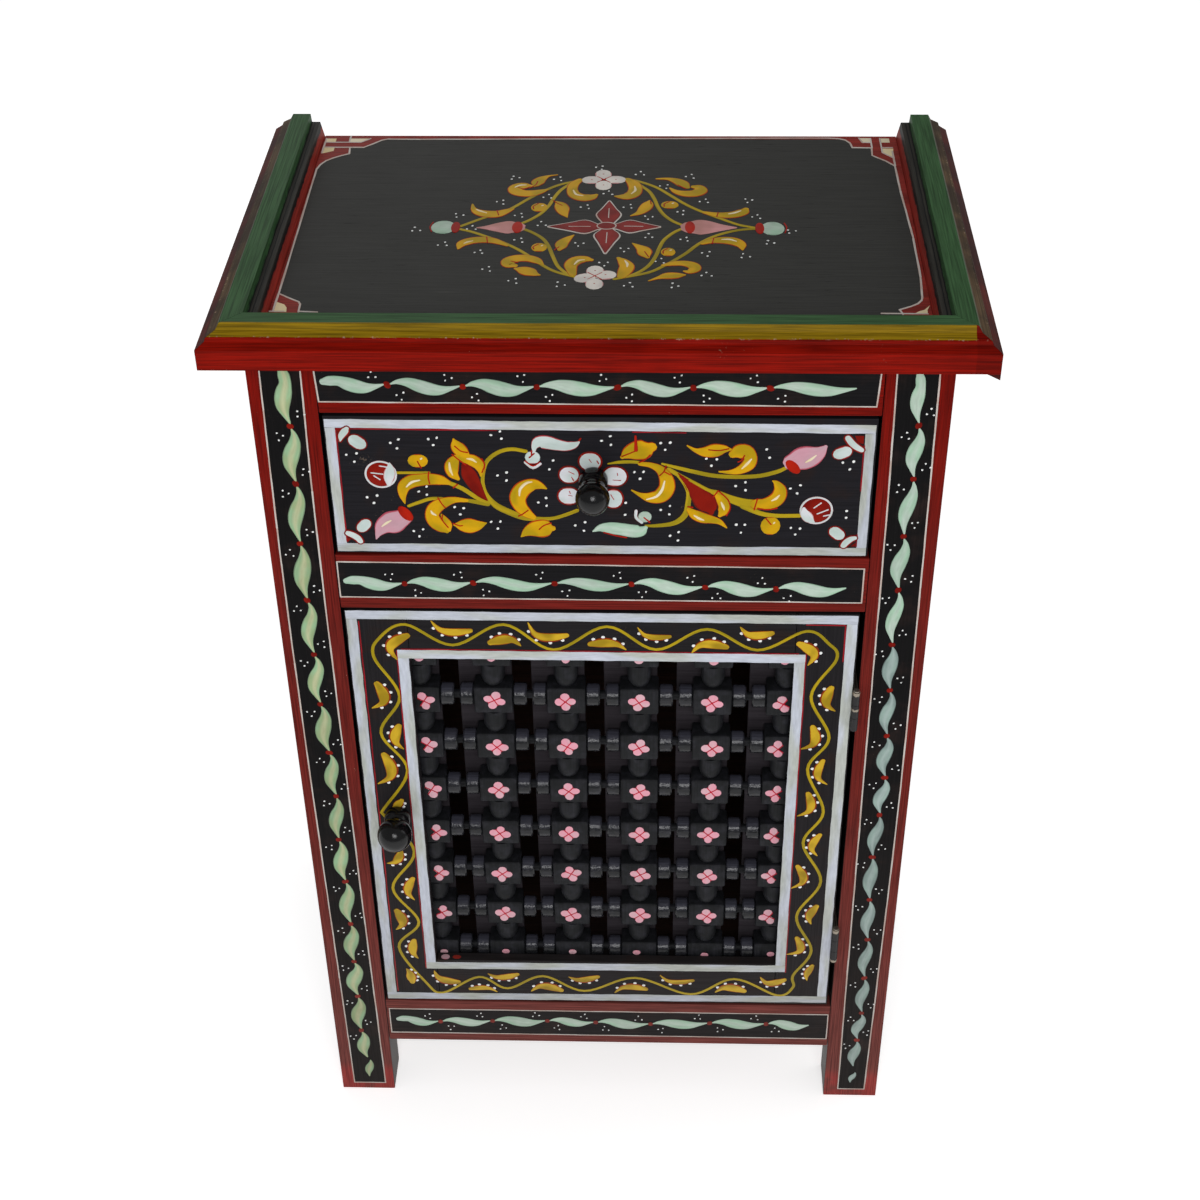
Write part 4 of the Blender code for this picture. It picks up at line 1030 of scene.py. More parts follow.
TOP_LEAVES = (
    ((-18, 81, 2.5), (-21.5, 75, 3.6), (-22.3, 67, 3.8), (-20.3, 59.5, 4.6), (-15, 55.5, 5),
     (-9.5, 56.5, 4.2), (-6.5, 59.3, 1.6)),
    ((-33, 89, 0.5), (-38.5, 87.3, 1.2), (-43, 83, 3.6), (-45.5, 78, 4.6), (-46.5, 74, 2.8),
     (-47.5, 72, 1)),
    ((-50.5, 72, 2.5), (-55, 72.5, 4.8), (-59.3, 69.5, 5.2), (-59, 64.5, 5), (-54, 61.5, 4.8),
     (-48, 61.8, 4.4), (-42.5, 64.5, 2.8), (-39, 67, 1.2)),
    ((-86, 45.5, 0.6), (-84.8, 39, 2), (-81.5, 34.5, 3.8), (-75.5, 31.8, 4.8), (-69, 32, 4.6),
     (-64, 35.5, 3.2), (-60, 39, 1.6)),
    ((-31.8, 49.5, 1), (-29.3, 45.5, 4), (-27.7, 40, 4.9), (-26.5, 34, 3.6), (-24, 27.5, 0.5)),
    ((-90, -15.5, 1), (-88.3, -9, 3.8), (-83, -5, 4.3), (-76.5, -3.6, 4.1), (-70, -4.4, 3.7),
     (-64.5, -7.5, 2.6), (-60, -11, 1.4)),
    ((-18.8, 3, 0.5), (-22.5, -2, 2.8), (-25.5, -7.5, 4.2), (-26.3, -12.5, 3.8), (-27, -16.5, 1.5)),
    ((-36.5, -36, 1), (-40.5, -31, 3.6), (-46, -28, 4.2), (-52.5, -28, 4.6), (-57.5, -31.5, 4.8),
     (-57.3, -36, 4.4), (-54, -37.5, 2.5)),
    ((-52.5, -41.5, 1.5), (-48.5, -43, 4.6), (-44, -45.7, 5.2), (-40.5, -48.2, 2.8), (-38, -49.3, 1)),
    ((-7, -29.8, 1.8), (-11, -28.8, 4.2), (-16, -30.5, 5), (-19, -36, 4.6), (-18.5, -42.5, 3.6),
     (-17.5, -48.5, 2.6)),
    ((14, 82, 2.5), (17.5, 76, 4.4), (19, 69, 4.8), (18, 62, 5), (14, 57.5, 4.6), (9.5, 57, 2.8),
     (6.3, 57.5, 1)),
    ((33, 83.3, 1), (40, 83.3, 1.8), (46, 80.3, 3.8), (50.3, 75.5, 4.4), (53, 71, 2)),
    ((41.8, 69.5, 0.8), (45.5, 64.5, 2.6), (51, 61.8, 4.2), (57.5, 62, 4.8), (61.5, 65.8, 4.9),
     (60.5, 70.5, 4), (57.5, 71.5, 2.4)),
    ((64, 34.5, 1.8), (70.5, 32, 3), (77, 31, 4), (83.5, 32.3, 4.4), (88.5, 36, 4.2), (90.3, 39.5, 2.2)),
    ((28.5, 51, 1), (27.5, 46.5, 3.8), (25.5, 40.5, 4.3), (22, 34, 2.6), (16.5, 29.8, 0.5)),
    ((62, -7.5, 1.8), (68, -4.2, 3.2), (75, -3.3, 4.5), (81.5, -4.8, 5), (85.8, -9.5, 3.8),
     (86.6, -15.5, 1)),
    ((18.3, -7.8, 0.5), (22, -12, 2.6), (25.3, -16.5, 4.8), (26.3, -21.5, 4.6), (27.8, -26, 1.6)),
    ((10, -27.5, 1.5), (13, -32, 3.8), (15.3, -38, 5), (14.3, -44, 4.8), (12.5, -50, 3.4)),
    ((37.5, -36.5, 1.4), (43.5, -34.3, 2.8), (50, -33.8, 3.4), (55.5, -36.5, 4.2), (56.8, -41, 4),
     (53.5, -44.5, 2.6), (50.5, -44, 1)),
    ((28.8, -56.3, 0.5), (34.5, -52.5, 1.6), (40, -50, 4), (46, -49.3, 3.6), (50.5, -48.7, 1)))
TOP_REDS = (
    ((-49.5, 70), (-46.5, 74), (-45.5, 79)), ((-58, 70), (-54, 68), (-50, 71)), ((-69.5, 36.5), (-68, 30)),
    ((-34, 51), (-31, 47), (-28, 44)), ((-73.5, 0), (-72.5, -7.5)), ((-56, -32), (-52, -33.5)),
    ((-30, -17), (-27.5, -13)), ((47, 74), (51.5, 69)), ((72.5, 34.5), (71.5, 29)), ((29, 51), (29.5, 46)),
    ((69, -1), (68, -8)), ((26, -19), (28.5, -26)), ((114, 20), (115.3, 14), (114, 7)),
    ((-109, 20), (-110.5, 13.5), (-109, 7)))
TOP_LIGHTS = (
    ((-21.5, 66), (-19.5, 60), (-15, 58)), ((-83, 38), (-80, 35.5), (-76, 33)),
    ((-87, -9), (-85, -7), (-82, -5.5)), ((-17, -36), (-14.5, -31), (-11, -30)),
    ((79, 32.5), (83, 34), (87, 37)), ((14, -31), (15.5, -35), (15.5, -39)),
    ((-60, 70), (-57, 73), (-53, 73.5)), ((18.5, 72), (19, 66), (16.5, 61)),
    ((74, -2.5), (79, -2.5), (83, -5)))
STEM_HALF = 1.3
for stem in TOP_STEMS:
    spray.stems.stroke([(*spot, STEM_HALF) for spot in stem])
for leaf in TOP_LEAVES:
    spray.leaves.stroke(leaf)
for line in TOP_REDS:
    spray.reds.line(*line, half=0.4)
for line in TOP_LIGHTS:
    spray.light(*line)
spray.fruit(-42.5, 41.5, 5.5, 6.3, (-46, 39), (-46.5, 42.5), (-43.5, 46.5))
spray.fruit(-39.8, -13.5, 5, 5.8, (-43, -16), (-43.5, -13), (-40.5, -9.5))
spray.fruit(41.5, 45.5, 5.8, 5.4, (38, 43), (38, 46.5), (41, 49.5))
spray.fruit(40.5, -19, 4.6, 5.6, (37.5, -21), (37.5, -18), (40, -15))
print(len(TOP_STEMS), "stems and", len(TOP_LEAVES), "leaves on the top")

# %% Flowers, buds and dots of the top
RED_FLOWER = (1.5, 15.5)
RED_PETALS = (((2.5, 20), (2.5, 31), (2.5, 50), 7.7), ((8, 15), (16, 15), (35, 14.5), 8.5),
              ((2, 11), (2, 3), (1.5, -21), 8), ((-4, 14.5), (-12, 14.5), (-35, 14.5), 9))
top_brick = brush_paint("top_flower_red", pigment(136, 38, 34), pigment(116, 28, 26), pigment(100, 26, 26))
red_flower = Brushwork("top_red_flower", on_top, top_brick, "carcass", "top_paint", 0.14)
red_heart = Brushwork("top_red_heart", on_top, top_brick, "carcass", "top_paint", 0.24)
flower_lines = Brushwork("top_flower_lines", on_top, line_paint, "carcass", "top_paint", 0.1)
flower_veins = Brushwork("top_flower_veins", on_top, line_paint, "carcass", "top_paint", 0.3)
for base, wide, tip, half in RED_PETALS:
    shoulder = Vector(wide).lerp(Vector(tip), 0.45)
    petal = ((*base, 3.5), (*wide, half), (*shoulder, half * 0.58), (*tip, 0.4))
    flower_lines.stroke([(a, b, h + 0.8) for a, b, h in petal])
    red_flower.stroke(petal)
    vein = Vector(base).lerp(Vector(wide), 0.6)
    flower_veins.line(vein, Vector(wide), shoulder, half=0.3)
red_heart.dab(*RED_FLOWER, 5.8, 4.5, 0, 16)
flower_veins.line(*oval(*RED_FLOWER, 6, 4.7), half=0.4)
WHITE_FLOWERS = (((-2, 82), ((-2.5, 90.5), (-10.5, 81.5), (6.5, 82), (-2, 73))),
                 ((-4, -50.5), ((-4, -43.5), (-10.5, -53), (3, -49), (-4, -61))))
DRAWN_IN = 0.93
CROSS_ARM = 4.2
for centre, spots in WHITE_FLOWERS:
    middle = Vector(centre)
    for spot in spots:
        way = Vector(spot) - middle
        petal = middle + DRAWN_IN * way
        spray.petals.dab(*petal, 6.8, 5.6, math.degrees(math.atan2(way.y, way.x)), 14)
        spray.reds.dab(*petal, 0.8, 0.6, 0, 6)
    for lean in (Vector((CROSS_ARM, CROSS_ARM)), Vector((-CROSS_ARM, CROSS_ARM))):
        spray.reds.line(middle - lean, middle + lean)
spray.bud(((-56.5, 13.5, 7), (-60.5, 13.6, 8.4), (-65, 13.5, 7.2), (-70.5, 13.2, 4.6), (-76, 13, 1.8),
           (-80.5, 12.8, 0.5)), (-55, 13.5, 3.6, 7.8))
spray.bud(((56, 14.2, 8.2), (60.5, 14.5, 10), (66, 14.4, 8.6), (73, 14, 4.9), (79.5, 13.8, 2.2),
           (83.3, 13.8, 0.8)), (54.3, 14, 3.4, 8.2))
for ball, calyx in (((-102, 13.5, 8, 9), (-94.2, 13.2, 3, 7.5)), ((106.5, 13, 7.5, 9.2), (98.3, 13, 3, 7.6))):
    spray.mints.dab(*ball, sides=18)
    spray.reds.dab(*calyx, sides=14)
TOP_DOTS = (
    (-5, 100), (-61, 84.5), (-32, 83), (-38, 57), (-68, 49), (-94, 30), (-84, 12), (-55, 30), (-40, 18),
    (-119, 10), (-100, -10), (-77, -20), (-53, -4), (-15, -9), (-70, -42), (-53, -57), (-25, -61),
    (1, -34), (-13, 42), (1, 62), (22, 91), (55, 87), (38, 72), (64, 51), (92, 52), (49, 35), (28, 28),
    (97, 29), (118, 9), (51, -2), (104, -6), (64, -21), (88, -24), (64, -48), (44, -62), (17, -62),
    (28, 2), (13, -16), (36, -31), (15, 43))
for spot in TOP_DOTS:
    three_dots(spray.dots, *spot, 0.66, 3.0)
print(len(RED_PETALS), "red petals and", len(TOP_DOTS), "groups of dots on the top")

# %% [markdown]
# ## Drawer front
# The drawer has a broad white border with two small white petals in each corner. From the white flower
# behind the knob, stems curl to both sides, with yellow leaves, red tulips, pink buds and striped red balls.
# Every mark is given by the few points the brush went through and its half width there.

# %% Border and corner petals of the drawer
drawer = Posy("drawer_spray", on_front, "drawer", "drawer_paint")
drawer_border = Brushwork("drawer_border", on_front, border_paint, "drawer", "drawer_paint")
drawer_low, drawer_high = box_mm("drawer_front")


def broad_line(work, start, stop, half):
    """A broad straight stroke with square ends and slightly rough edges."""
    hand_line(work, (start, stop), half, 0.15, 8, 0.04, False)


def border(work, low_left, high_left, high_right, low_right, half):
    """A border through the middles of its corners: the level strokes reach past the upright ones."""
    inset = Vector((half, 0))
    rise = Vector((0, half))
    low_left, high_left, high_right, low_right = map(Vector, (low_left, high_left, high_right, low_right))
    broad_line(work, high_left - inset, high_right + inset, half)
    broad_line(work, low_left - inset, low_right + inset, half)
    broad_line(work, low_left + rise, high_left - rise, half)
    broad_line(work, low_right + rise, high_right - rise, half)


corner_paint = brush_paint("corner_petal", pigment(198, 210, 208), pigment(182, 197, 192),
                           pigment(170, 60, 66))
drawer.mints.look = corner_paint
drawer.pinks.look = brush_paint("drawer_pink", pigment(196, 146, 160), pigment(186, 150, 160),
                                pigment(172, 76, 92))
drawer_edges = Brushwork("drawer_red_edges", on_front, edge_paint, "drawer", "drawer_paint", 0.02)
corner_petals = Brushwork("drawer_corner_petals", on_front, corner_paint, "drawer", "drawer_paint", 0.14)
border(drawer_border, (-163.2, 529.6), (-163.2, 621.8), (162.8, 619.5), (162.8, 528.8), 3.1)
DRAWER_EDGES = (
    ((-159.6, 617), (-160, 534)), ((-159.6, 618), (-62, 617.4)), ((159.6, 608), (159.6, 575)),
    ((159.6, 542), (159.6, 533)), ((20, 616.8), (52, 616.5)))
for line in DRAWER_EDGES:
    hand_line(drawer_edges, line)
CORNER_ARCS = (
    (((-157.5, 609.5, 0.8), (-156.5, 613, 2.3), (-154, 616.5, 2.6), (-153, 618, 1.8)),
     (-147.3, 608.5, 6.6, 5, -40)),
    (((-158.5, 540.3, 2.3), (-156.2, 539.2, 2.5), (-153.2, 537, 2.5), (-151.6, 534.5, 2.2)),
     (-148.3, 546.3, 6.2, 4.3, 50)),
    (((149.5, 613.3, 2.2), (152, 609.8, 2.4), (155, 607, 2.3), (158, 605, 2)),
     (146.8, 602.8, 6.5, 4.8, 25)),
    (((151.8, 534, 2.4), (153.3, 536.3, 2.6), (155.8, 538.6, 2.4), (158.2, 539.5, 1.8)),
     (147, 543, 6.2, 4.6, -45)))
for arc, (a, b, long, wide, tilt) in CORNER_ARCS:
    drawer.bricks.stroke([(p, q, half + 0.7) for p, q, half in arc])
    corner_petals.stroke([(p, q, half - 0.2) for p, q, half in arc])
    drawer.bricks.dab(a, b, long + 0.3, wide + 0.3, tilt, 16)
    corner_petals.dab(a, b, long - 0.4, wide - 0.4, tilt, 16)
CORNER_WEDGES = (
    ((-159.6, 617.6), (-156, 617.6), (-158, 614.5)), ((-159.8, 537), (-157.2, 536), (-159.8, 533.4)),
    ((153.5, 615), (159, 615), (159, 609), (155.5, 610.5)), ((156, 533), (159, 533), (159, 536)))
for wedge in CORNER_WEDGES:
    drawer.bricks.patch(wedge)
print("drawer front", round(drawer_high.x - drawer_low.x), "by", round(drawer_high.z - drawer_low.z), "mm")

# %% Stems and leaves of the drawer
DRAWER_STEMS = (
    ((-125.5, 586.2, 1), (-105, 586.5, 1)),
    ((-93, 579, 1.6), (-85, 574.8, 1.6), (-78, 569.3, 1.6), (-70, 564, 1.8)),
    ((-119, 561.5, 1.1), (-112, 564.5, 1.3), (-104, 567.2, 1.3), (-92, 566.5, 1.3), (-83, 566, 1.4),
     (-70, 563.5, 1.8)),
    ((-45, 602.5, 1.3), (-53, 604, 1.4), (-60, 602.5, 1.4), (-66, 598.5, 1.4), (-70, 593, 1.3),
     (-72, 584, 1.2), (-72, 577, 1.2), (-70, 570, 1.3), (-65, 562.5, 2.2), (-57, 557.5, 2.3),
     (-48, 553.5, 2.2), (-40, 552.5, 1.6), (-30, 552.8, 1.3), (-22, 555.5, 1.3), (-14.5, 559, 1.3)),
    ((5, 593.8, 0.5), (12, 595, 1.2), (20, 595.3, 1.2), (27, 594.3, 1)),
    ((38, 594, 0.8), (48, 591, 1.3), (58, 588.2, 1.5), (70, 585.5, 1.5), (85, 584.8, 1.5),
     (98, 585.8, 1.5), (108, 588.8, 1.5), (113, 591.5, 1.2)),
    ((42, 590, 1.5), (50, 584.5, 1.6), (58, 579.5, 1.7), (66, 574.5, 1.8), (72, 572.5, 2.2),
     (80, 568.5, 2.8), (88, 565.5, 3.4), (95, 564.5, 3.6)),
    ((46, 587, 0.6), (51, 580.5, 1.2), (54.3, 573, 1.6), (54, 564, 1.8), (53, 557.5, 2), (49, 552, 1.9),
     (43, 549, 1.6), (33, 547.7, 1.2), (28, 547.8, 0.8)),
    ((88, 563, 2), (97, 558.5, 1.8), (104, 556.5, 1.7), (112, 556, 1.5), (123, 556.2, 1.5)))
DRAWER_LEAVES = (
    ((-121.3, 563.5, 0.4), (-122.3, 569.5, 2.5), (-121, 576, 4.2), (-116, 580, 4.9), (-110, 581.2, 4.6),
     (-104, 581.7, 4.3), (-98, 581, 3.7), (-93.5, 579.3, 1.9)),
    ((-87.5, 582.3, 1.5), (-90.3, 586, 3.8), (-90.8, 591, 4.6), (-89, 595.5, 3.6), (-86.5, 598.5, 1.5)),
    ((-88.5, 610.8, 0.8), (-87, 606.5, 4.0), (-84.5, 602.5, 4.6), (-81.5, 599, 3), (-79, 597, 0.8)),
    ((-88.5, 599, 0.8), (-84, 597, 2.6), (-78.5, 596, 4.3), (-74.2, 592.5, 3.9), (-72.8, 588, 2.4),
     (-73, 584.5, 0.8)),
    ((-83, 566, 1.4), (-90, 566.4, 2.3), (-96.5, 564.5, 3.8), (-102.5, 560.5, 4.8), (-105, 555, 4.6),
     (-103.5, 549.5, 4.8), (-99, 545, 4), (-96.5, 542.5, 1.5)),
    ((-99, 555, 0.8), (-97.3, 551.5, 2.2), (-95.5, 547.5, 2.8), (-95, 543.5, 1.4)),
    ((-91, 547.5, 1.2), (-87, 547, 4.4), (-82, 546.8, 5.8), (-77, 547.3, 4.2), (-71.5, 549, 0.5)),
    ((-33.3, 575.3, 0.6), (-36.8, 577.3, 2.6), (-41.5, 578.2, 4.4), (-47.5, 575, 5.6), (-51, 568.5, 5.5),
     (-49.8, 562, 4.6), (-46, 557, 3.6), (-42, 553.8, 2)),
    ((-49.8, 538.8, 0.5), (-46, 542.3, 3.6), (-41, 544.6, 6.3), (-36, 545.2, 7), (-32.3, 545.3, 5.6),
     (-30.3, 545.3, 2.2)),
    ((13.8, 598.8, 1.5), (17.5, 601.6, 5), (22.5, 603.5, 7), (27.5, 604.5, 6.9), (31, 606, 3.8)),
    ((19.3, 574.5, 0.5), (24.5, 571.2, 1.6), (30.5, 569.2, 3.9), (37, 570.3, 5.3), (40.8, 576, 5.3),
     (40.5, 583, 4.6), (37, 589.5, 3.2), (31, 593, 2), (24.5, 594, 1.5)),
    ((70.8, 572, 1.2), (74, 568.5, 3.2), (76.3, 563.5, 3.8), (75.8, 559, 3.4), (74, 556, 1.4)),
    ((54.8, 560, 1.8), (58.5, 556.5, 3.7), (63.5, 554, 4), (69, 552.8, 3), (74, 551, 2),
     (78.3, 546.8, 0.5)),
    ((53, 607.3, 0.5), (58, 604, 1.6), (64, 602.9, 3.9), (70, 604, 4.9), (75, 605, 3.2), (79, 604.8, 1)),
    ((72.8, 588.6, 0.6), (78.5, 588.3, 1.4), (84.5, 589.5, 2.9), (90, 593.5, 4.4), (91.5, 598.8, 4.2),
     (88.5, 603.5, 4.9), (84, 603, 5.2), (81, 601.5, 3)),
    ((96, 564.7, 3.9), (101, 564.8, 4.3), (106.5, 566.8, 5.2), (109.8, 571, 4.9), (110.2, 576, 4),
     (107.8, 580.5, 2), (105.6, 582, 0.5)))
for stem in DRAWER_STEMS:
    drawer.stems.stroke(stem)
for leaf in DRAWER_LEAVES:
    drawer.leaves.stroke(leaf)
print(len(DRAWER_STEMS), "stems and", len(DRAWER_LEAVES), "leaves on the drawer")

# %% Red lines and cream lights on the leaves
DRAWER_REDS = (
    ((-105, 587), (-105.6, 583), (-105, 578.5)), ((-88, 606), (-84.5, 602.5), (-80.5, 601.5)),
    ((-90, 600), (-86, 596), (-82, 592.5)), ((-72, 597), (-70.5, 592.5), (-72.3, 587)),
    ((-100.5, 567.8), (-98.5, 563.5), (-96.5, 560.5)), ((-98.5, 555), (-98.8, 551), (-95.5, 545.5)),
    ((-92, 548.5), (-88.5, 546.8), (-86.5, 547)), ((-51, 554.5), (-48.5, 556), (-45, 559)),
    ((-38.5, 544.5), (-35.5, 547.5), (-31, 549.3)), ((22, 603.5), (18, 601.5), (13.5, 599.3)),
    ((24, 595), (28, 597.5), (30.5, 600.5)), ((36.5, 585.5), (39, 588.5), (40.3, 592.5)),
    ((39, 588.5), (43, 586)), ((73, 574), (78.5, 568), (80.2, 561.5), (78, 556)),
    ((69.5, 570), (72.5, 574.5)), ((54, 562.5), (57, 562)), ((66, 604.5), (72, 604), (78, 605.3)),
    ((84, 595.8), (86, 597), (87.8, 600.5)), ((-90.5, 575.5), (-88, 578)),
    ((95, 560.5), (95.8, 564.5), (96.7, 568.5)), ((97, 561.8), (103, 560.7), (109, 561.8)))
DRAWER_LIGHTS = (
    ((-119.5, 576), (-116, 579.5), (-111, 581)), ((-92, 594), (-91.8, 589), (-90.5, 585)),
    ((-81, 597), (-78, 596.5), (-75.5, 594.5)), ((-105.5, 558), (-104.5, 556), (-102.5, 554.8)),
    ((-50, 570), (-49.3, 575), (-45.5, 579.3), (-42, 580.3)), ((74.5, 566), (75.8, 563), (76.5, 560.5)),
    ((28.5, 567.8), (34.5, 570), (38, 575), (39.5, 581.5)), ((58, 556), (61, 553.8), (64, 552.5)),
    ((86.5, 591), (89.5, 594.5), (92, 598)), ((105.5, 567.5), (108, 569), (110, 571.5)),
    ((-137, 546), (-134, 548.5), (-131, 550.5)), ((125, 596), (128, 598), (131, 601)))
for line in DRAWER_REDS:
    drawer.reds.line(*line, half=0.45)
for line in DRAWER_LIGHTS:
    drawer.light(*line)
drawer.reds.stroke([(21.7, 614, 0.6), (22, 604, 1.3)])
print(len(DRAWER_REDS), "red lines and", len(DRAWER_LIGHTS), "lights")

# %% Tulips, buds, balls and the white flower
TULIPS = (((-82.5, 591.5, 2.5), (-80.7, 586, 4.8), (-78, 579.5, 4.6), (-74.5, 572, 3.2), (-70.3, 566.3, 0.6)),
          ((47.8, 587, 0.4), (53.5, 580, 2.6), (59.5, 572.5, 5.3), (64.5, 566.3, 7.2), (67.5, 561.5, 5.4),
           (68.5, 558.3, 2)))
for tulip in TULIPS:
    drawer.bricks.stroke(tulip)
drawer.fruit(-111.3, 595, 6.3, 5, (-111.5, 594.8), (-109.5, 590))
drawer.fruit(105.5, 548.3, 6.2, 7, (102.5, 554), (105.8, 549.5))
DRAWER_BUDS = (
    (((-124, 552.5, 6.5), (-130, 549, 8.5), (-136, 545.5, 6.2), (-139.5, 540.5, 2.5), (-141.2, 536.3, 0.5)),
     (-121.5, 555.7, 6.5, 3.5, -55)),
    (((117.5, 596, 6.5), (122.5, 598.3, 8.4), (128.5, 600.5, 7.6), (133, 603.3, 4.8), (136.3, 607, 1.4)),
     (117.3, 592.5, 6.2, 3.4, -50)))
for petal, calyx in DRAWER_BUDS:
    drawer.bud(petal, calyx)
low_leaf = Brushwork("drawer_low_leaf", on_front, mint_paint, "drawer", "drawer_paint", 0.11)
drawer.mints.stroke(((-40, 602.5, 1), (-39.5, 606, 2.2), (-37, 609, 4.4), (-32, 609, 4.9), (-26, 607.4, 4.2),
                     (-20, 606.4, 3.5), (-15.5, 607.4, 2.6), (-12.8, 609.2, 0.9)))
low_leaf.stroke(((-4.8, 543.3, 0.5), (0, 545.8, 2.8), (6, 545.8, 4.4), (13, 544.9, 4.7), (20, 543.6, 4.9),
                 (25, 543.9, 4.2), (27.8, 546.2, 1.6)))
drawer.mints.dab(-41, 598, 4.7, 4.7, 0, 14)
low_leaf.dab(27.5, 554.5, 4.2, 4.2, 0, 14)
LEAF_REDS = (
    ((-41.5, 603), (-41.5, 599.5)), ((-43, 598), (-40, 601)), ((-45.5, 595.5), (-41, 592), (-36.8, 594.8)),
    ((27, 554), (30.5, 550.5)), ((2, 542.5), (10, 540), (16, 538.7)), ((-12.5, 610.5), (-11.5, 612)))
LEAF_CUPS = (((-45.5, 594.5), (-41, 590.5), (-36.5, 593.5)), ((22, 559), (22, 554), (25.5, 550.3)))
for line in LEAF_REDS:
    drawer.reds.line(*line, half=0.5)
for line in LEAF_CUPS:
    drawer.petals.line(*line, half=1.0)
BALLS = (
    ((-134.7, 585, 10),
     ((-130.2, 577.8, 1.5), (-130, 582, 3.2), (-129.2, 586, 3.6), (-128.6, 590, 2.4), (-128.8, 593, 0.8)),
     (((-140.5, 586.2), (-133.5, 585.3)), ((-139, 584), (-135.5, 581.3)), ((-135, 591.3), (-130.5, 590.5)))),
    ((133.3, 560.3, 10.3),
     ((125.6, 561.6, 1.2), (126.5, 558, 3.2), (129, 554.3, 3.4), (131.6, 551.8, 1.2)),
     (((131.8, 562.3), (136, 566)), ((134, 557.8), (140.5, 561)), ((138, 556.2), (142.3, 557.3)))))
for (a, b, radius), cap, dashes in BALLS:
    drawer.bricks.dab(a, b, radius - 0.5, radius - 0.5, 0, 22)
    drawer.petals.line(*oval(a, b, radius - 0.6, radius - 0.6), half=0.65)
    drawer.tips.stroke(cap)
    for dash in dashes:
        drawer.tips.line(*dash, half=0.45)
FLOWER_PETALS = (
    ((-6, 595.3), 6.7, 6.5), ((-19, 585.5), 6, 6), ((-19.5, 569.8), 6.5, 6.3), ((9, 584.5), 7.5, 7.2),
    ((8, 568), 5.7, 7))
for spot, wide, tall in FLOWER_PETALS:
    drawer.bricks.dab(*spot, wide + 1.0, tall + 1.0, 0, 18)
    drawer.petals.dab(*spot, wide, tall, 0, 18)
PETAL_DASHES = (
    ((-6.5, 597), (-5.3, 595)), ((-1.8, 596), (-0.8, 594)), ((-19, 588), (-16, 586.2)),
    ((-17.5, 584), (-16.3, 581.3)), ((-19, 573.3), (-18.5, 571.8)), ((-19.5, 570.5), (-17.5, 570)),
    ((10.5, 587), (10.7, 585.5)), ((8, 582), (12.5, 581.8)), ((6.5, 571), (8.3, 567.5)))
for dash in PETAL_DASHES:
    drawer.reds.line(*dash, half=0.4)
DRAWER_DOTS = (
    (-124, 608), (-101, 610), (-151, 598), (-141, 567), (-109, 573), (-114, 542), (-88, 559), (-62, 614),
    (-59, 584), (-35, 565), (-65, 548), (-12, 547), (5, 610), (40, 608), (24, 586), (41, 560), (68, 596),
    (87, 578), (47, 540), (87, 547), (120, 576), (151, 594), (121, 545))
DOT_TURN = 50
for spot in DRAWER_DOTS:
    three_dots(drawer.dots, *spot, 0.85, 3.5, DOT_TURN + jitter(20))
PAIRED_DOTS = (
    (-28.5, 596), (-31, 589.5), (15.6, 565), (15.2, 556), (101, 605), (103, 599), (152, 560), (152, 555))
for spot in PAIRED_DOTS:
    drawer.dots.dab(*spot, 0.95, 0.8, 30, 8)
print(len(FLOWER_PETALS), "white petals and", len(DRAWER_DOTS), "groups of dots on the drawer")

# %% [markdown]
# ## Door frame
# Two white borders edge the door frame. Between them a vine waves all the way round, and a yellow crescent
# lies in every pocket of the wave, with a row of pale dots along its back. A crescent is given by its thin
# tail, its blunt head, how far it bulges to the left and its half width.

# %% Borders and vine of the door
door = Posy("door_vine", on_front, "door", "door_paint")
door_border = Brushwork("door_borders", on_front, border_paint, "door", "door_paint")
door_edges = Brushwork("door_red_edges", on_front, edge_paint, "door", "door_paint", 0.02)
door.leaves.look = brush_paint("crescent_yellow", pigment(202, 165, 40), pigment(156, 128, 26),
                               pigment(160, 84, 14))
border(door_border, (-162.8, 109.6), (-162.8, 475.4), (161.4, 474.4), (161.4, 111.5), 3.5)
border(door_border, (-131.2, 143.5), (-131.2, 443), (129, 442), (129, 144.8), 3.6)
DOOR_REDS = (((-158.2, 115), (-158.2, 470)), ((-135.2, 141), (-135.2, 446)), ((133, 141), (133, 445.5)),
             ((157.2, 440), (157.2, 470), (132, 470.2)), ((-132, 447.2), (128, 446.2)))
for line in DOOR_REDS:
    hand_line(door_edges, line)
VINE_BENDS = (
    (-156.5, 300), (-135.3, 340), (-151, 374), (-136, 406.5), (-150.5, 440), (-146, 456), (-128, 467.8),
    (-98, 451), (-64, 468.5), (-32, 447.8), (3, 467.5), (35, 448.7), (68, 466), (101, 449), (132, 465),
    (147, 455), (153, 442), (138, 410), (152, 373.5), (139, 345), (152, 305), (139.5, 275), (154, 237),
    (138.5, 201), (151, 165), (139, 138), (139.5, 125), (128, 115.5), (95, 133), (63, 115.5), (21, 132.8),
    (-17, 117.5), (-48, 133.3), (-75, 119.3), (-96, 131.5), (-124, 113.5), (-136, 124), (-154, 163),
    (-137.5, 190), (-154, 225), (-136, 262), (-156.5, 300))
VINE_HALF = 1.1
door.stems.stroke([(*bend, VINE_HALF) for bend in VINE_BENDS], 8)
print(len(VINE_BENDS) - 1, "bends of the vine")

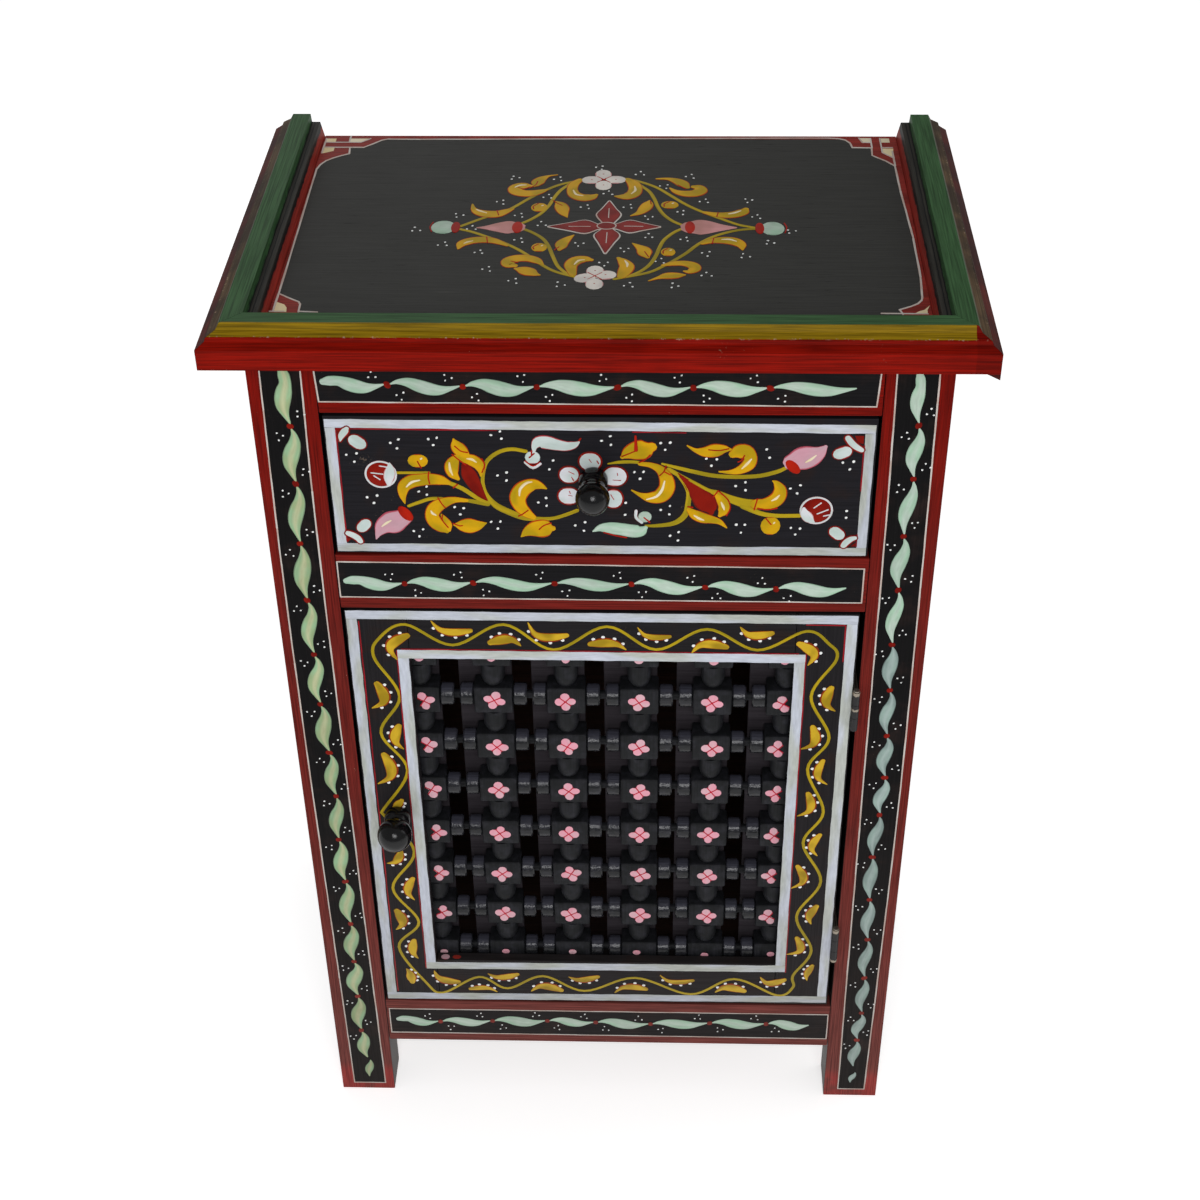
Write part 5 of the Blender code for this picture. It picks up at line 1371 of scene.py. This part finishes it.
# %% Crescents along the vine
CRESCENT_SHAPE = ((0.0, 0.0, 0.12), (0.24, 0.9, 0.62), (0.5, 1.0, 1.0), (0.76, 0.6, 0.95), (0.97, 0.05, 0.55))
CRESCENTS = (
    (-135.3, 438.5, -127, 459, 7.3, 4.2), (-111, 471, -85, 463.2, -5.7, 3.3),
    (-53.5, 451, -73.5, 453.3, -4.4, 4.3), (-48, 470, -22.5, 460, -7.5, 3.5),
    (15.3, 448.5, -8.5, 452.8, -3.5, 3.8), (23, 467, 44.5, 459.7, -4.7, 2.5),
    (58.5, 446.5, 81.3, 451.3, 5.3, 3.9), (89.5, 468, 110.5, 463.3, -4.9, 3.6),
    (134.6, 437, 127.8, 454.8, -6.3, 4.3), (154.4, 397.7, 151, 418, 4.9, 4),
    (133.8, 363.5, 140.5, 383.8, -6.2, 3.7), (153, 331.3, 149.2, 353.5, 5.4, 3.2),
    (134.3, 301.2, 140.5, 323, -6.3, 3.5), (150, 262.8, 151, 283.5, 4.7, 3.3),
    (133.3, 230, 136.6, 252.5, -6.9, 3.4), (149.3, 193.5, 152.5, 212, 3, 3.7),
    (133.3, 160.8, 139.8, 178.8, -7.4, 3.4), (149.5, 132.8, 152.8, 149, 1.8, 3),
    (114.7, 135.4, 133.2, 133, -5.6, 3.5), (81.5, 118.3, 103.5, 119.8, 4.6, 4.2),
    (40, 136, 65.2, 130.8, -5, 2.6), (6, 116.3, 30, 120.5, 4.7, 3.4),
    (-28.5, 132.9, -6.2, 133.6, -3.5, 3.2), (-57, 116.7, -34, 117.8, 5.2, 4),
    (-89, 135.2, -66.5, 135, -3.8, 3.3), (-83, 115.3, -103.8, 118.2, -3.1, 2.7),
    (-129.3, 137.4, -111.3, 125.6, -4.7, 3.8), (-150, 139.4, -146.5, 124.8, 1.2, 4),
    (-155, 396.3, -150.4, 418, -6.7, 4.3), (-136.8, 359.8, -138.3, 381, 4.5, 4),
    (-156.5, 327.4, -150.6, 355, -7.7, 4.4), (-149.5, 303.3, -141.3, 311.8, -1, 3.3),
    (-156, 250.2, -145.5, 262, -3.5, 3.6), (-139.2, 213.3, -138.8, 235.3, 4.3, 3.6),
    (-154.5, 182, -153, 202, -4.6, 4.3), (-140.6, 151.3, -142.3, 170.7, 2.9, 3.8))
back_paint = brush_paint("orange_back", pigment(150, 58, 18), pigment(128, 40, 14))
crescent_backs = Brushwork("door_crescent_backs", on_front, back_paint, "door", "door_paint", 0.16)
DOT_PLACES = (4, 9, 15, 21)


def crescent(tail, head, bulge, half):
    """A yellow crescent from its tail to its head, with an orange back and four dots beside it."""
    way = head - tail
    left = left_of(way).normalized()
    points = [(*(tail + t * way + lean * bulge * left), half * wide) for t, lean, wide in CRESCENT_SHAPE]
    door.leaves.stroke(points)
    path = flowing(points, 6)
    back = []
    for i, spot in enumerate(path[1:-1], 1):
        step = path[i + 1].xy - path[i - 1].xy
        aside = left_of(step).normalized() * math.copysign(1.0, bulge)
        if i % 3 == 0:
            back.append((*(spot.xy + aside * 0.85 * spot.z), 0.13 * spot.z))
        if i in DOT_PLACES:
            door.dots.dab(*(spot.xy + aside * (spot.z + 0.6)), 1.3, 1.15, jitter(40), 8)
    crescent_backs.stroke(back, 2)


for tail_a, tail_b, head_a, head_b, bulge, half in CRESCENTS:
    crescent(Vector((tail_a, tail_b)), Vector((head_a, head_b)), bulge, half)
print(len(CRESCENTS), "crescents along the vine of the door")

# %% [markdown]
# ## Turned lattice
# The lattice is a web of turned sticks. Upright sticks carry square blocks with a cup on each, and thin
# rows with two barrels in every gap pass through the blocks. A lathe is easy to copy in a mesh: a profile of
# radius and distance is spun into rings. The joined frame has plain versions, and these finer ones take
# their place, one for one.

# %% Spin a profile
def cool_black(here, x, y, z, spot):
    """A bluish black, paler where it is rubbed."""
    return noise(here, spot, 0.15, 4.0).between(0.4, 0.75).mix(pigment(24, 25, 27), pigment(38, 38, 43))


def top_lit_black(here, x, y, z, spot):
    """The same black, painted paler and bluer on whatever faces up: painted light from above."""
    return facing(here).out("Z").between(0.3, 1.0).mix(cool_black(here, x, y, z, spot), pigment(62, 62, 72))


def dipped_black(here, x, y, z, spot):
    """The deep black of a knob dipped in gloss."""
    return noise(here, spot, 0.1, 4.0).between(0.4, 0.7).mix(pigment(9, 9, 10), pigment(17, 17, 19))


TURNED_CREASE = 40
lattice_look = coat("lattice_black", cool_black, 2, 0.1, (0.4, 0.6), 0.2, greying=0.0)
# The barrels are painted paler where they face up: painted light.
barrel_look = coat("barrel_gloss", top_lit_black, 0, 0.26, (0.08, 0.14), 0.2, grit=3.0, pits=0.35, greying=0.0)


def spin(bm, profile, start, way, sides=28):
    """Rings of a turned shape: profile holds (radius, distance along way) from start, in millimetres."""
    way = Vector(way)
    first = way.orthogonal().normalized()
    second = way.cross(first)
    rings = []
    for radius, distance in profile:
        middle = Vector(start) + way * distance
        angles = [math.tau * i / sides for i in range(sides)]
        rings.append([bm.verts.new((middle + radius * (math.cos(t) * first + math.sin(t) * second)) * MM)
                      for t in angles])
    skin(bm, rings)


def turned_piece(name, bm, look, body, slot, *replaced):
    """Make an object of the spun shapes, in place of pieces of the frame."""
    smooth_piece(name, bm, look, body, TURNED_CREASE, replaced)


def middle_mm(node):
    """The middle of a joined piece, in millimetres."""
    low, high = box_mm(node)
    return (low + high) / 2


sticks = [name for name in nodes if name.startswith("lattice_stick")]
rows = [name for name in nodes if name.startswith("lattice_row")]
column_x = sorted(middle_mm(name).x for name in sticks)
row_z = sorted(middle_mm(name).z for name in rows)
stick_low, stick_high = box_mm(sticks[0])
lattice_y = middle_mm(sticks[0]).y
block_wide = stick_high.x - stick_low.x
BLOCK_TALL = 22.0
print(len(sticks), "sticks with blocks", round(block_wide), "mm wide, and", len(rows), "rows")

# %% Sticks with blocks and cups
gap_tall = row_z[1] - row_z[0] - BLOCK_TALL
BLOCK_EASED = 1.4
CUP = ((5.0, 0.0), (6.3, 0.08), (7.3, 0.2), (7.9, 0.35), (8.1, 0.5), (8.1, 1.0))


def rounded_block(bm, x, z):
    """A square block with edges softened by many coats of paint."""
    block = bmesh.ops.create_cube(bm, size=1.0)["verts"]
    size = Vector((block_wide, stick_high.y - stick_low.y, BLOCK_TALL)) * MM
    for vert in block:
        vert.co = vert.co * size + Vector((x, lattice_y, z)) * MM
    edges = list(dict.fromkeys(edge for vert in block for edge in vert.link_edges))
    bmesh.ops.bevel(bm, geom=edges, offset=BLOCK_EASED * MM, segments=3, profile=0.5, affect="EDGES")


def number_by_place(elements, place):
    """Number corners or faces by where they lie, because a bevel may number them another way each time."""
    ordered = sorted(elements, key=lambda element: [round(c / MM, 4) for c in place(element)])
    ranks = {element: rank for rank, element in enumerate(ordered)}
    elements.sort(key=ranks.get)


for name in sticks:
    bm = bmesh.new()
    x = middle_mm(name).x
    for z in row_z:
        rounded_block(bm, x, z)
        if z != row_z[-1]:
            profile = [(radius, share * gap_tall) for radius, share in CUP]
            spin(bm, profile, (x, lattice_y, z + BLOCK_TALL / 2), (0, 0, 1), 24)
    number_by_place(bm.verts, lambda vert: vert.co)
    number_by_place(bm.faces, lambda face: face.calc_center_median())
    turned_piece(f"fine_{name}", bm, lattice_look, "door", "lattice_paint", name)
print("cups", round(gap_tall, 1), "mm tall between blocks")

# %% Rows of barrels
NECK = 4.0
DOWEL_RADIUS = 3.0
gap_wide = column_x[1] - column_x[0] - block_wide
barrel = (gap_wide - NECK) / 2
barrel_radius = (box_mm(rows[0])[1].y - box_mm(rows[0])[0].y) / 2
BARREL = ((barrel_radius - 0.9, 0.35), (barrel_radius, 1.2), (barrel_radius, barrel - 1.0),
          (barrel_radius - 0.9, barrel))
for name in rows:
    barrels = bmesh.new()
    dowel = bmesh.new()
    low, high = box_mm(name)
    z = middle_mm(name).z
    spin(dowel, ((DOWEL_RADIUS, 0.0), (DOWEL_RADIUS, high.x - low.x)), (low.x, lattice_y, z), (1, 0, 0), 16)
    for x in column_x[:-1]:
        left = x + block_wide / 2
        spin(barrels, BARREL, (left, lattice_y, z), (1, 0, 0))
        spin(barrels, BARREL, (left + gap_wide, lattice_y, z), (-1, 0, 0))
    turned_piece(f"fine_{name}", barrels, barrel_look, "door", "lattice_paint", name)
    turned_piece(f"dowel_{name}", dowel, lattice_look, "door", "lattice_paint")
print("barrels", round(barrel, 1), "mm long")

# %% [markdown]
# ## Flowers on the lattice
# One small pink flower sits on every block: four touches of the brush and a thin red cross. The hand slips
# and turns a little each time, which a seeded random number copies. Flowers at the two ends lose a petal
# behind the frame, the lowest row is only a dab, and two slips of the brush lie on the ledge below.

# %% Four-petal flowers
def on_block(a, b, height):
    """A point on the front of the lattice blocks."""
    return Vector((a, stick_low.y - height, b)) * MM


flower_pinks = Brushwork("lattice_flower_petals", on_block, pink_paint, "door", "lattice_paint")
cross_paint = brush_paint("flower_cross", pigment(196, 34, 58), pigment(170, 24, 40))
flower_reds = Brushwork("lattice_flower_crosses", on_block, cross_paint, "door", "lattice_paint", 0.12)
HIDDEN_PETAL = {column_x[0]: 2, column_x[-1]: 0}
PETAL_REACH = 4.0
CROSS_REACH = 4.6
PUSHED_IN = 2.6
for x in column_x:
    flower_pinks.dab(x + jitter(2.0), row_z[0] + jitter(1.0), 3.0, 2.6, 0, 12)
    for z in row_z[1:]:
        shy = HIDDEN_PETAL.get(x)
        inward = 0.0 if shy is None else PUSHED_IN * (shy - 1)
        middle = Vector((x + inward + jitter(1.0), z + jitter(0.8)))
        lean = jitter(17)
        for quarter in range(4):
            if quarter != shy:
                spot = middle + PETAL_REACH * towards(90 * quarter + lean)
                flower_pinks.dab(*spot, 3.7 + jitter(0.5), 3.2 + jitter(0.3), 90 * quarter + lean, 12)
        for turn_about in (45, 135):
            arm = CROSS_REACH * towards(turn_about + lean)
            flower_reds.line(middle - arm, middle + arm, half=0.4)


def on_ledge(a, b, height):
    """A point on the ledge below the lattice: a to the right, b to the back."""
    return Vector((a, b, box_mm("door_bottom_rail")[1].z + height)) * MM


LEDGE_SLIPS = (("pink", pink_paint, 3.0, 2.6), ("red", red_paint, 11.5, 2.0))
for name, look, shift, wide in LEDGE_SLIPS:
    slip = Brushwork(f"ledge_slip_{name}", on_ledge, look, "door", "door_paint")
    slip.dab(column_x[0] + shift, front_mm + 3.2, 3.3, wide)
print(len(column_x) * len(row_z), "flowers on the lattice")

# %% [markdown]
# ## Knobs
# Both knobs were turned the same way: a collar against the board, a slight waist and a ball. They were
# dipped in black gloss, so they shine more than the boards. The drawer's ball is a little smaller.

# %% Turn the knobs
knob_gloss = coat("knob_gloss", dipped_black, 1, 0.3, (0.06, 0.16), 0.1, grit=1.0, greying=0.0)
COLLAR = ((3.0, 0.0), (7.8, 0.0), (8.7, 0.8), (9.0, 2.2), (9.0, 6.6), (8.6, 8.2), (7.8, 9.5), (7.4, 10.4))
WAIST = 7.6
BALL_RINGS = 16
for name, body in (("drawer_knob", "drawer"), ("door_knob", "door")):
    bm = bmesh.new()
    low, high = box_mm(name)
    middle = (low + high) / 2
    length = high.y - low.y
    radius = (high.x - low.x) / 2
    first = math.asin(WAIST / radius)
    turns = [first + (math.pi - first) * i / BALL_RINGS for i in range(BALL_RINGS)]
    ball = [(radius * math.sin(t), length - radius - radius * math.cos(t)) for t in turns]
    spin(bm, [*COLLAR, *ball, (0.6, length - 0.01)], (middle.x, high.y, middle.z), (0, -1, 0), 44)
    turned_piece(f"fine_{name}", bm, knob_gloss, body, "knob_paint", name)
print("knobs stand", round(length, 1), "mm proud")

# %% [markdown]
# ## Sides
# The photograph does not show the sides. They are guessed plain: black panels with one white line and a
# thinner red one, as on the front's fields.

# %% Lines on the side panels
panel_low, panel_high = box_mm("right_side_panel")
MARGIN = 16.0
PANEL_FRONT = -85.0
PANEL_BACK = 118.0
LINE_GAP = 4


def on_right(a, b, height):
    """A point on the right side: a to the back, b up."""
    return Vector((panel_high.x + height, a, b)) * MM


def on_left(a, b, height):
    """A point on the left side: a to the back, b up."""
    return Vector((-panel_high.x - height, a, b)) * MM


SIDE_LINES = (("white_line", line_paint, MARGIN), ("red_line", red_paint, MARGIN + LINE_GAP))
for name, face in (("left_side", on_left), ("right_side", on_right)):
    for paint, look, inset in SIDE_LINES:
        work = Brushwork(f"{name}_{paint}", face, look, "carcass", "carcass_paint")
        front, back = PANEL_FRONT + inset, PANEL_BACK - inset
        low, high = panel_low.z + inset, panel_high.z - inset
        corners = ((front, low), (front, high), (back, high), (back, low))
        hand_line(work, (*corners, corners[0]), 0.7, 0.2, 20)
print("side panels", round(panel_high.z - panel_low.z), "mm tall")

# %% [markdown]
# ## Putting the marks on the cabinet
# Only now does each gathered set of marks become an object, riding on the carcass, the drawer or the door.

# %% Finish the marks and the scene
faces = sum(work.finish() for work in Brushwork.made)
print(len(Brushwork.made), "sets of marks with", faces, "faces")
